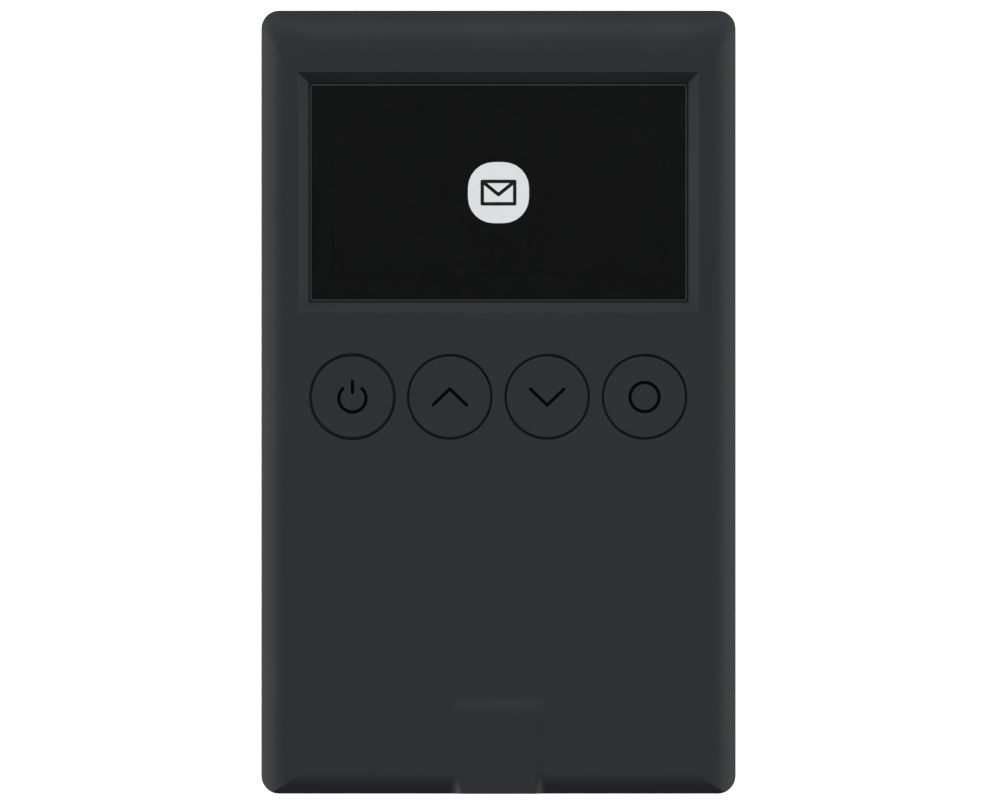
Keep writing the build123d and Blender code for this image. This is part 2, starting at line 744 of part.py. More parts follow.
with BuildPart() as power_chip:
    slab(4.0, 4.0, board_low - 0.7, board_low, spots=((-16.5, chip_y - 0.5),))
power_chip.part.label = "power_chip"

with BuildPart() as power_coil:
    slab(3.0, 3.0, board_low - 0.8, board_low, spots=((-16.5, chip_y + 5.0),), corner=0.6)
power_coil.part.label = "power_coil"

with BuildPart() as capacitors:
    for spot in [(-20.6, chip_y - 0.5), (13.0, chip_y)]:
        with BuildSketch(Plane.XY.offset(board_low - 0.5)) as bodies:
            with Locations(spot):
                with GridLocations(0, 1.8, 1, 4):
                    Rectangle(1.6, 0.8)
        extrude(bodies.sketch, amount=0.5)
capacitors.part.label = "capacitors"

antenna_y = inner_half_height - 3.3
antenna_half = 17.0
antenna_high = 3.95
with BuildPart() as antenna_strip:
    slab(2 * antenna_half, 2.6, antenna_high - 0.15, antenna_high, spots=((0, antenna_y),))
    slab(1.2, 0.15, board_top, antenna_high,
         spots=[(x, antenna_y - 1.3 + 0.075) for x in (-antenna_half + 0.6, -antenna_half + 4.6,
                                                       antenna_half - 0.6)])
antenna_strip.part.label = "antenna_strip"

# ---------------------------------------------------------------- battery
cell_spot = ((cell_left_x + cell_width / 2, cell_low_y + cell_length / 2),)
with BuildPart() as battery_cell:
    slab(cell_width, cell_length, cell_low, cell_top, spots=cell_spot, corner=1.2)
    fillet(battery_cell.faces().sort_by(Axis.Z)[-1].edges() + battery_cell.faces().sort_by(Axis.Z)[0].edges(),
           radius=0.6)
battery_cell.part.label = "battery_cell"

with BuildPart() as battery_tape:
    slab(cell_width - 5, cell_length - 4, back_wall, cell_low, spots=cell_spot)
battery_tape.part.label = "battery_tape"

guard_low = board_low - 0.2
guard_high = guard_low + board_thickness
with BuildPart() as battery_board:
    slab(cell_width - 8, guard_length, guard_low, guard_high,
         spots=((cell_left_x + cell_width / 2, cell_top_y + guard_length / 2),))
battery_board.part.label = "battery_board"

socket_x = cell_left_x + 13.0
socket_low_y = board_low_y + 1.1
socket_length = 2.8
plug_length = 2.4
plug_mid = board_top + 0.6
lead_radius = 0.3
with BuildPart() as battery_socket:
    slab(4.6, socket_length, board_top, board_top + 1.2,
         spots=((socket_x, socket_low_y + socket_length / 2),))
    slab(3.4, 1.6, plug_mid - 0.4, plug_mid + 0.4, spots=((socket_x, socket_low_y + 0.8),),
         mode=Mode.SUBTRACT)
battery_socket.part.label = "battery_socket"

plug_low_y = socket_low_y + 1.6 - plug_length
with BuildPart() as battery_plug:
    slab(3.4, plug_length, plug_mid - 0.4, plug_mid + 0.4,
         spots=((socket_x, plug_low_y + plug_length / 2),))
battery_plug.part.label = "battery_plug"

with BuildPart() as battery_leads:
    for side in (-0.8, 0.8):
        lead(Plane.YZ.offset(socket_x + side),
             [(cell_top_y + 0.9, guard_high), (cell_top_y + 0.9, plug_mid), (plug_low_y, plug_mid)],
             lead_radius, 0.6)
battery_leads.part.label = "battery_leads"

# ---------------------------------------------------------------- port board
cut_out = shell_back_y + 0.2 - port_board_low_y
with BuildPart() as port_board:
    slab(port_board_width, port_board_length, board_low, board_top,
         spots=((0, port_board_low_y + port_board_length / 2),))
    slab(shell_width + 0.4, cut_out, board_low, board_top, spots=((0, port_board_low_y + cut_out / 2),),
         mode=Mode.SUBTRACT)
    post(small_shank + 0.12, board_low, board_top, port_screw_spots, mode=Mode.SUBTRACT)
port_board.part.label = "port_board"

shell_front_y = -half_height + shell_setback
tab_reach = 1.1
with BuildPart() as port_shell:
    port_cut(0, shell_front_y, shell_back_y, Mode.ADD)
    port_cut(-shell_wall, shell_front_y, shell_back_y - shell_wall, Mode.SUBTRACT)
    for tab_y in (shell_back_y - 1.4, shell_back_y - 4.6):
        for side in (-1, 1):
            slab(tab_reach + shell_wall, 1.0, board_top, board_top + shell_wall,
                 spots=((side * (shell_width / 2 + (tab_reach - shell_wall) / 2), tab_y),))
port_shell.part.label = "port_shell"

tongue_thick = 0.7
tongue_width = shell_width - 2 * shell_wall - 1.65
tongue_front_y = shell_front_y + 0.6
tongue_root_y = shell_back_y - shell_wall - 1.6
with BuildPart() as port_tongue:
    port_cut(-shell_wall, tongue_root_y, shell_back_y - shell_wall, Mode.ADD)
    slab(tongue_width, tongue_root_y - tongue_front_y, port_height - tongue_thick / 2,
         port_height + tongue_thick / 2, spots=((0, (tongue_root_y + tongue_front_y) / 2),))
port_tongue.part.label = "port_tongue"

contact_sheet = 0.08
contact_count = 12
contact_pitch = (tongue_width - 0.69) / contact_count
with BuildPart() as port_contacts:
    for low in (port_height - tongue_thick / 2 - contact_sheet, port_height + tongue_thick / 2):
        with BuildSketch(Plane.XY.offset(low)) as strips:
            with Locations((0, tongue_root_y - 1.7)):
                with GridLocations(contact_pitch, 0, contact_count, 1):
                    Rectangle(contact_pitch / 2, 3.4)
        extrude(strips.sketch, amount=contact_sheet)
port_contacts.part.label = "port_contacts"

link_spots = [(link_x, link_port_y), (link_x, link_main_y)]
with BuildPart() as link_sockets:
    slab(link_width, link_length, board_top, board_top + socket_height, spots=link_spots)
link_sockets.part.label = "link_sockets"

with BuildPart() as link_plugs:
    slab(link_width - 0.6, link_length - 0.4, board_top + socket_height, plug_top, spots=link_spots,
         corner=0.2)
link_plugs.part.label = "link_plugs"

flex_over = cell_top + 0.25
flex_on_plug = plug_top + flex_thickness / 2
with BuildPart() as link_flex:
    ribbon(Plane.YZ, [(link_port_y - link_length / 2 + 0.2, flex_on_plug), (link_port_y + 1.3, flex_on_plug),
                      (link_port_y + 2.4, flex_over), (link_main_y - 2.4, flex_over),
                      (link_main_y - 1.3, flex_on_plug), (link_main_y + link_length / 2 - 0.2, flex_on_plug)],
           flex_thickness, 6.0, 0.3)
link_flex.part.label = "link_flex"

# ---------------------------------------------------------------- motor
motor_front_y = motor_low_y + motor_length
with BuildPart() as motor_can:
    rod(motor_x, motor_height, motor_low_y, motor_front_y, motor_radius)
    rod(motor_x, motor_height, motor_front_y - shaft_depth, motor_front_y, shaft_radius + shaft_clearance,
        mode=Mode.SUBTRACT)
motor_can.part.label = "motor_can"

weight_low_y = motor_front_y + weight_gap
with BuildPart() as motor_shaft:
    rod(motor_x, motor_height, motor_front_y - shaft_depth, weight_low_y + weight_length, shaft_radius)
motor_shaft.part.label = "motor_shaft"

with BuildPart() as motor_weight:
    with BuildSketch(Plane.XZ.offset(-weight_low_y)) as half_disc:
        with Locations((motor_x, motor_height)):
            Circle(motor_radius)
            with Locations((0, motor_radius)):
                Rectangle(2 * motor_radius, 2 * motor_radius, mode=Mode.SUBTRACT)
            Circle(shaft_radius + 0.4)
            Circle(shaft_radius, mode=Mode.SUBTRACT)
    extrude(half_disc.sketch, amount=-weight_length)
motor_weight.part.label = "motor_weight"

with BuildPart() as motor_boot:
    rod(motor_x, motor_height, motor_low_y + 0.5, motor_front_y - 0.5, boot_radius)
    rod(motor_x, motor_height, motor_low_y + 0.5, motor_front_y - 0.5, motor_radius, mode=Mode.SUBTRACT)
motor_boot.part.label = "motor_boot"

motor_lead_radius = 0.25
lead_height = board_top + motor_lead_radius
with BuildPart() as motor_leads:
    for index, side in enumerate((-0.6, 0.6)):
        turn_y = link_port_y + 0.2 - 1.2 * index
        lead(Plane.XY.offset(lead_height),
             [(motor_x + side, motor_low_y), (motor_x + side, turn_y), (port_board_width / 2 - 1.0, turn_y)],
             motor_lead_radius, 1.0)
motor_leads.part.label = "motor_leads"

# ---------------------------------------------------------------- sounder
sounder_spot = [(sounder_x, sounder_y)]
with BuildPart() as sounder_disc:
    post(sounder_radius, back_wall, back_wall + sounder_sheet, sounder_spot)
sounder_disc.part.label = "sounder_disc"

ceramic_top = back_wall + sounder_sheet + ceramic_sheet
with BuildPart() as sounder_ceramic:
    post(ceramic_radius, back_wall + sounder_sheet, ceramic_top, sounder_spot)
sounder_ceramic.part.label = "sounder_ceramic"

spring_sheet = 0.1
with BuildPart() as sounder_springs:
    for x, foot in ((sounder_x - 1.5, ceramic_top), (sounder_x + ceramic_radius + 0.6, back_wall + sounder_sheet)):
        ribbon(Plane.XZ.offset(-sounder_y),
               [(x + 1.0, board_low - spring_sheet / 2), (x - 1.0, board_low - spring_sheet / 2),
                (x + 0.9, foot + spring_sheet / 2), (x + 0.2, foot + spring_sheet / 2)],
               spring_sheet, 1.2, 0.06)
sounder_springs.part.label = "sounder_springs"

# ---------------------------------------------------------------- write the pieces
for piece in (front_cover, back_cover, cover_screws, thread_inserts, display_lens, lens_tape,
              display_gasket, display_polariser, display_substrate, display_cap, display_driver,
              display_flex, display_connector, display_tape, key_power, key_up, key_down, key_select,
              dome_power, dome_up, dome_down, dome_select, dome_film, main_board, board_screws,
              processor, memory_chip, radio_shield, radio_chip, radio_crystal, power_chip, power_coil,
              capacitors, antenna_strip, battery_cell, battery_tape, battery_board, battery_socket,
              battery_plug, battery_leads, port_board, port_shell, port_tongue, port_contacts,
              link_sockets, link_plugs, link_flex, motor_can, motor_shaft, motor_weight, motor_boot,
              motor_leads, sounder_disc, sounder_ceramic, sounder_springs):
    export_step(piece.part, f"parts/{piece.part.label}.step")
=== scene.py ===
"""Looks of a slim pocket pager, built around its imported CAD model."""

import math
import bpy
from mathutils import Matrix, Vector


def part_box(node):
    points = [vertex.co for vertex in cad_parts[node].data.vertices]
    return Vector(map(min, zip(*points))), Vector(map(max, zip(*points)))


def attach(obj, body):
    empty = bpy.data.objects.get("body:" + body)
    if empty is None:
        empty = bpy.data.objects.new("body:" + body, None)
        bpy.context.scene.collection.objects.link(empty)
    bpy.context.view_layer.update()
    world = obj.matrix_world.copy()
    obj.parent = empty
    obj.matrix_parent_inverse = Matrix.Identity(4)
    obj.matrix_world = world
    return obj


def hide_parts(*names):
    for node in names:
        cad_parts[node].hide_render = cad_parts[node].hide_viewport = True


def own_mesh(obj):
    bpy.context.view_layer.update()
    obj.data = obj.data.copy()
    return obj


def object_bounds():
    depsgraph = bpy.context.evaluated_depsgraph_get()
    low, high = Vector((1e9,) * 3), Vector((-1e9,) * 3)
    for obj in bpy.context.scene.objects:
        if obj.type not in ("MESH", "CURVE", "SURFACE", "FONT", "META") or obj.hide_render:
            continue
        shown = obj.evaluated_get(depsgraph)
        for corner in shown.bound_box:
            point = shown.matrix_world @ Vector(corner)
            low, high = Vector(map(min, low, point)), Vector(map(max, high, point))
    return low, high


bl_info = {
    "name": "Pocket Pager Looks",
    "version": (1, 0, 0),
    "blender": (4, 5, 0),
    "location": "3D View > Sidebar > Pager",
    "description": "Finishes, lens, display, key legends and inner details of a slim pocket pager",
    "category": "Object",
}

import bmesh
import bpy
from bpy.props import FloatProperty, FloatVectorProperty, PointerProperty
from mathutils import Vector

MM = 0.001
PER_MM = 1000.0
# most of a noise lies between these two values
NOISE_LOW, NOISE_HIGH = 0.3, 0.7

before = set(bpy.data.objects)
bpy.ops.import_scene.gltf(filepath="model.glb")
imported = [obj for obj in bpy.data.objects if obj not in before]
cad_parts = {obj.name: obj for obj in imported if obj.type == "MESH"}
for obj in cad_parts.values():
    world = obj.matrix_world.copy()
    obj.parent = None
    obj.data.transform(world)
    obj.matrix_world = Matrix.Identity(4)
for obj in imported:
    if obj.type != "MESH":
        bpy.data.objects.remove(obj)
cad_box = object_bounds()
KEYS = ("power", "up", "down", "select")


def middle(node):
    """Middle of a CAD node's box."""
    low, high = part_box(node)
    return (low + high) / 2


# ---------------------------------------------------------------- settings
class PAGER_PG_case(bpy.types.PropertyGroup):
    plastic: FloatVectorProperty(
        name="Case plastic", description="Colour of the moulded covers and keys",
        subtype="COLOR", size=3, min=0, max=1, default=(0.0255, 0.0296, 0.0395))
    grain: FloatProperty(
        name="Grain", description="Width of one grain of the moulded texture",
        subtype="DISTANCE", unit="LENGTH", default=0.16 * MM, min=0.02 * MM, max=2 * MM, precision=6)
    roughness: FloatProperty(
        name="Roughness", description="How matte the moulded texture is",
        subtype="FACTOR", default=0.5, min=0, max=1)


class PAGER_PG_window(bpy.types.PropertyGroup):
    lens_chamfer: FloatProperty(
        name="Lens chamfer", description="Width of the shallow ground bevel round the top of the lens",
        subtype="DISTANCE", unit="LENGTH", default=0.19 * MM, min=0, max=1 * MM, precision=6)
    lens_corner: FloatProperty(
        name="Lens corner", description="Corner radius of the lens outline",
        subtype="DISTANCE", unit="LENGTH", default=0.3 * MM, min=0, max=3 * MM, precision=6)
    active_width: FloatProperty(
        name="Active width", description="Width of the clear part of the lens print",
        subtype="DISTANCE", unit="LENGTH", default=40.0 * MM, min=10 * MM, max=44 * MM)
    active_height: FloatProperty(
        name="Active height", description="Height of the clear part of the lens print",
        subtype="DISTANCE", unit="LENGTH", default=20.4 * MM, min=5 * MM, max=25 * MM)
    badge_width: FloatProperty(
        name="Badge width", description="Width of the lit badge that holds the message icon",
        subtype="DISTANCE", unit="LENGTH", default=7.3 * MM, min=1 * MM, max=20 * MM)
    badge_corner: FloatProperty(
        name="Badge corner", description="Corner radius of the lit badge",
        subtype="DISTANCE", unit="LENGTH", default=3.07 * MM, min=0.1 * MM, max=8 * MM)
    icon_width: FloatProperty(
        name="Icon width", description="Width of the envelope drawn on the badge",
        subtype="DISTANCE", unit="LENGTH", default=4.3 * MM, min=1 * MM, max=20 * MM)
    icon_height: FloatProperty(
        name="Icon height", description="Height of the envelope drawn on the badge",
        subtype="DISTANCE", unit="LENGTH", default=3.1 * MM, min=1 * MM, max=15 * MM)
    icon_light: FloatProperty(
        name="Icon light", description="Brightness of the lit message icon",
        default=0.9, min=0, max=10)


class PAGER_PG_legends(bpy.types.PropertyGroup):
    stroke: FloatProperty(
        name="Stroke", description="Width of a legend's lines",
        subtype="DISTANCE", unit="LENGTH", default=0.39 * MM, min=0.05 * MM, max=1 * MM, precision=6)
    # painted shade: near-black colour of the fill in the engraved legends, standing in for the shade inside the
    # engraving
    engraving_shade: FloatVectorProperty(
        name="Ink", description="Colour of the paint in the engraved legends",
        subtype="COLOR", size=3, min=0, max=1, default=(0.0012, 0.0014, 0.0017))


# ---------------------------------------------------------------- modelling helpers
def only(obj):
    """Leaves this object alone selected and active."""
    bpy.ops.object.select_all(action="DESELECT")
    obj.select_set(True)
    bpy.context.view_layer.objects.active = obj


def nothing():
    """Deselects everything."""
    bpy.ops.object.select_all(action="DESELECT")


def settle(obj, name):
    """Names a new piece and applies its place, so its object sits at the origin."""
    only(obj)
    bpy.ops.object.transform_apply(location=True, rotation=True, scale=True)
    obj.name = name
    obj.data.name = name
    return obj


def edit(obj, kind):
    """Opens a piece in edit mode with nothing selected."""
    only(obj)
    bpy.ops.object.mode_set(mode="EDIT")
    bpy.ops.mesh.select_mode(type=kind)
    bpy.ops.mesh.select_all(action="DESELECT")


def close():
    """Leaves edit mode."""
    bpy.ops.object.mode_set(mode="OBJECT")


def pick(obj, kind, test):
    """Selects the faces, edges or vertices that pass the test."""
    mesh = bmesh.from_edit_mesh(obj.data)
    items = {"FACE": mesh.faces, "EDGE": mesh.edges, "VERT": mesh.verts}[kind]
    for item in items:
        if test(item):
            item.select_set(True)
    bmesh.update_edit_mesh(obj.data)


def outward(obj):
    """Merges doubles and turns every face outwards."""
    edit(obj, "VERT")
    bpy.ops.mesh.select_all(action="SELECT")
    bpy.ops.mesh.remove_doubles(threshold=1e-7)
    bpy.ops.mesh.normals_make_consistent(inside=False)
    close()
    return obj


def eased(obj, width, segments=2, angle=40):
    """Rounds every edge sharper than the angle."""
    only(obj)
    bevel = obj.modifiers.new("ease", "BEVEL")
    bevel.limit_method = "ANGLE"
    bevel.angle_limit = math.radians(angle)
    bevel.width = width
    bevel.segments = segments
    bpy.ops.object.modifier_apply(modifier=bevel.name)
    return obj


def smooth(obj, angle=35):
    """Shades a piece smooth, save at edges sharper than the angle."""
    only(obj)
    bpy.ops.object.shade_smooth_by_angle(angle=math.radians(angle))
    return obj


def block(name, low, high, corner=0.0, ease=0.0):
    """Block between two corners, its upright edges rounded and the rest eased."""
    low, high = Vector(low), Vector(high)
    nothing()
    bpy.ops.mesh.primitive_cube_add(size=1, location=(low + high) / 2, scale=high - low)
    obj = settle(bpy.context.object, name)
    if corner > 0:
        edit(obj, "EDGE")
        pick(obj, "EDGE", lambda e: abs(e.verts[0].co.z - e.verts[1].co.z) > (high.z - low.z) / 2)
        bpy.ops.mesh.bevel(offset=corner, segments=6, affect="EDGES")
        close()
    if ease > 0:
        eased(obj, ease)
    return smooth(obj)


def ring(name, centre, inner, outer, low, high, keep=None, vertices=72):
    """Flat ring between two heights; keep(angle) says which part of the turn stays."""
    nothing()
    bpy.ops.mesh.primitive_circle_add(vertices=vertices, radius=inner, fill_type="NOTHING",
                                      location=(centre[0], centre[1], low))
    obj = settle(bpy.context.object, name)
    edit(obj, "VERT")
    bpy.ops.mesh.select_all(action="SELECT")
    bpy.ops.mesh.extrude_edges_move()
    grow = outer / inner
    bpy.ops.transform.resize(value=(grow, grow, 1), center_override=(centre[0], centre[1], low))
    if keep:
        bpy.ops.mesh.select_mode(type="FACE")
        bpy.ops.mesh.select_all(action="DESELECT")
        pick(obj, "FACE", lambda f: not keep(math.degrees(math.atan2(
            f.calc_center_median().y - centre[1], f.calc_center_median().x - centre[0])) % 360))
        bpy.ops.mesh.delete(type="FACE")
    bpy.ops.mesh.select_mode(type="FACE")
    bpy.ops.mesh.select_all(action="SELECT")
    bpy.ops.mesh.extrude_region_move(TRANSFORM_OT_translate={"value": (0, 0, high - low)})
    close()
    return smooth(outward(obj))


def bar(name, start, end, width, low, high):
    """Round-ended bar between two points, lying flat between two heights."""
    start, end = Vector(start), Vector(end)
    along = end - start
    nothing()
    bpy.ops.mesh.primitive_plane_add(size=1, location=(*((start + end) / 2), low))
    obj = bpy.context.object
    obj.scale = (along.length + width, width, 1)
    obj.rotation_euler = (0, 0, math.atan2(along.y, along.x))
    settle(obj, name)
    edit(obj, "VERT")
    bpy.ops.mesh.select_all(action="SELECT")
    bpy.ops.mesh.bevel(offset=width * 0.499, segments=6, affect="VERTICES")
    bpy.ops.mesh.select_mode(type="FACE")
    bpy.ops.mesh.select_all(action="SELECT")
    bpy.ops.mesh.extrude_region_move(TRANSFORM_OT_translate={"value": (0, 0, high - low)})
    close()
    return smooth(outward(obj))


def joined(parts, name):
    """Several separate pieces as one."""
    only(parts[0])
    for part in parts[1:]:
        part.select_set(True)
    bpy.ops.object.join()
    obj = bpy.context.object
    obj.name = name
    obj.data.name = name
    return obj


def fused(parts, name):
    """Several overlapping pieces as one closed piece."""
    whole = parts[0]
    for part in parts[1:]:
        only(whole)
        bpy.ops.object.modifier_add(type="BOOLEAN")
        union = whole.modifiers[-1]
        union.operation = "UNION"
        union.solver = "EXACT"
        union.object = part
        bpy.ops.object.modifier_apply(modifier=union.name)
        bpy.data.objects.remove(part)
    whole.name = name
    whole.data.name = name
    return smooth(whole)


# ---------------------------------------------------------------- material helpers
def start_material(name):
    """Material with its shader, and object coordinates scaled to millimetres."""
    material = bpy.data.materials.new(name)
    material.use_nodes = True
    nodes, links = material.node_tree.nodes, material.node_tree.links
    shader = nodes["Principled BSDF"]
    place = nodes.new("ShaderNodeTexCoord")
    scale = nodes.new("ShaderNodeMapping")
    scale.inputs["Scale"].default_value = (PER_MM, PER_MM, PER_MM)
    links.new(place.outputs["Object"], scale.inputs["Vector"])
    return material, nodes, links, shader, scale


def noise(nodes, links, source, size, detail=2.0, stretch=None):
    """Noise whose grains are about this many millimetres wide."""
    if stretch:
        turn = nodes.new("ShaderNodeMapping")
        turn.inputs["Scale"].default_value = stretch
        links.new(source.outputs[0], turn.inputs["Vector"])
        source = turn
    grain = nodes.new("ShaderNodeTexNoise")
    grain.inputs["Scale"].default_value = 1 / size
    grain.inputs["Detail"].default_value = detail
    links.new(source.outputs[0], grain.inputs["Vector"])
    return grain


def shades(nodes, links, value, colour, spread):
    """Colour that wanders a little to each side of its middle."""
    ramp = nodes.new("ShaderNodeValToRGB")
    ramp.color_ramp.elements[0].position = NOISE_LOW
    ramp.color_ramp.elements[1].position = NOISE_HIGH
    ramp.color_ramp.elements[0].color = (*[c * (1 - spread) for c in colour], 1)
    ramp.color_ramp.elements[1].color = (*[min(1, c * (1 + spread)) for c in colour], 1)
    links.new(value, ramp.inputs["Fac"])
    return ramp


def wander(nodes, links, value, low, high):
    """Number that follows a noise between two limits."""
    spread = nodes.new("ShaderNodeMapRange")
    spread.inputs["From Min"].default_value = NOISE_LOW
    spread.inputs["From Max"].default_value = NOISE_HIGH
    spread.inputs["To Min"].default_value = low
    spread.inputs["To Max"].default_value = high
    links.new(value, spread.inputs["Value"])
    return spread


def relief(nodes, links, shader, value, height, strength=1.0):
    """Bump of this height in millimetres from a value."""
    bump = nodes.new("ShaderNodeBump")
    bump.inputs["Distance"].default_value = height * MM
    bump.inputs["Strength"].default_value = strength
    links.new(value, bump.inputs["Height"])
    links.new(bump.outputs["Normal"], shader.inputs["Normal"])


def plain_finish(name, colour, roughness, metallic=0.0, grain=0.3, height=0.004, spread=0.12,
                 stretch=None, sockets=None):
    """Moulded, cast or rolled finish: grain in the colour, the roughness and the relief."""
    material, nodes, links, shader, scale = start_material(name)
    fine = noise(nodes, links, scale, grain, 3.0, stretch)
    broad = noise(nodes, links, scale, grain * 14, 2.0)
    tint = shades(nodes, links, broad.outputs["Fac"], colour, spread)
    links.new(tint.outputs["Color"], shader.inputs["Base Color"])
    rough = wander(nodes, links, fine.outputs["Fac"], max(0.02, roughness - 0.06), min(1, roughness + 0.06))
    links.new(rough.outputs["Result"], shader.inputs["Roughness"])
    relief(nodes, links, shader, fine.outputs["Fac"], height)
    shader.inputs["Metallic"].default_value = metallic
    for socket, value in (sockets or {}).items():
        shader.inputs[socket].default_value = value
    return material


def case_plastic(name, settings):
    """Charcoal plastic with a spark-eroded mould texture."""
    material, nodes, links, shader, scale = start_material(name)
    grain = settings.grain * PER_MM
    cells = nodes.new("ShaderNodeTexVoronoi")
    cells.feature = "SMOOTH_F1"
    cells.inputs["Scale"].default_value = 1 / grain
    cells.inputs["Smoothness"].default_value = 0.8
    links.new(scale.outputs["Vector"], cells.inputs["Vector"])
    fine = noise(nodes, links, scale, grain * 0.7, 2.0)
    broad = noise(nodes, links, scale, 9.0, 3.0)
    mix = nodes.new("ShaderNodeMix")
    mix.data_type = "FLOAT"
    mix.inputs["Factor"].default_value = 0.45
    links.new(cells.outputs["Distance"], mix.inputs["A"])
    links.new(fine.outputs["Fac"], mix.inputs["B"])
    tone = shades(nodes, links, broad.outputs["Fac"], settings.plastic, 0.05)
    links.new(tone.outputs["Color"], shader.inputs["Base Color"])
    rough = wander(nodes, links, fine.outputs["Fac"], settings.roughness - 0.05, settings.roughness + 0.05)
    links.new(rough.outputs["Result"], shader.inputs["Roughness"])
    relief(nodes, links, shader, mix.outputs["Result"], 0.012, 0.55)
    shader.inputs["Specular IOR Level"].default_value = 0.42
    return material


def circuit_board(name, mask, track):
    """Solder mask with tracks just showing under it and a scatter of plated holes."""
    material, nodes, links, shader, scale = start_material(name)
    grid = nodes.new("ShaderNodeTexBrick")
    grid.inputs["Scale"].default_value = 0.55
    grid.inputs["Mortar Size"].default_value = 0.035
    grid.inputs["Mortar Smooth"].default_value = 0.2
    grid.inputs["Color1"].default_value = (*mask, 1)
    grid.inputs["Color2"].default_value = (*[c * 0.86 for c in mask], 1)
    grid.inputs["Mortar"].default_value = (*track, 1)
    links.new(scale.outputs["Vector"], grid.inputs["Vector"])
    holes = nodes.new("ShaderNodeTexVoronoi")
    holes.inputs["Scale"].default_value = 0.45
    links.new(scale.outputs["Vector"], holes.inputs["Vector"])
    near = nodes.new("ShaderNodeMapRange")
    near.inputs["From Min"].default_value = 0.07
    near.inputs["From Max"].default_value = 0.09
    near.inputs["To Min"].default_value = 1.0
    near.inputs["To Max"].default_value = 0.0
    links.new(holes.outputs["Distance"], near.inputs["Value"])
    plated = nodes.new("ShaderNodeMix")
    plated.data_type = "RGBA"
    plated.inputs["B"].default_value = (0.72, 0.56, 0.26, 1)
    links.new(near.outputs["Result"], plated.inputs["Factor"])
    links.new(grid.outputs["Color"], plated.inputs["A"])
    links.new(plated.outputs["Result"], shader.inputs["Base Color"])
    links.new(near.outputs["Result"], shader.inputs["Metallic"])
    fine = noise(nodes, links, scale, 0.4)
    rough = wander(nodes, links, fine.outputs["Fac"], 0.28, 0.42)
    links.new(rough.outputs["Result"], shader.inputs["Roughness"])
    relief(nodes, links, shader, grid.outputs["Fac"], 0.015)
    return material


def give(node, material):
    """Puts a finish on a carried-over CAD node."""
    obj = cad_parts[node]
    obj.data.materials.clear()
    obj.data.materials.append(material)


def dress(obj, *materials):
    """Puts finishes on a new piece, one for each slot."""
    obj.data.materials.clear()
    for material in materials:
        obj.data.materials.append(material)
    return obj


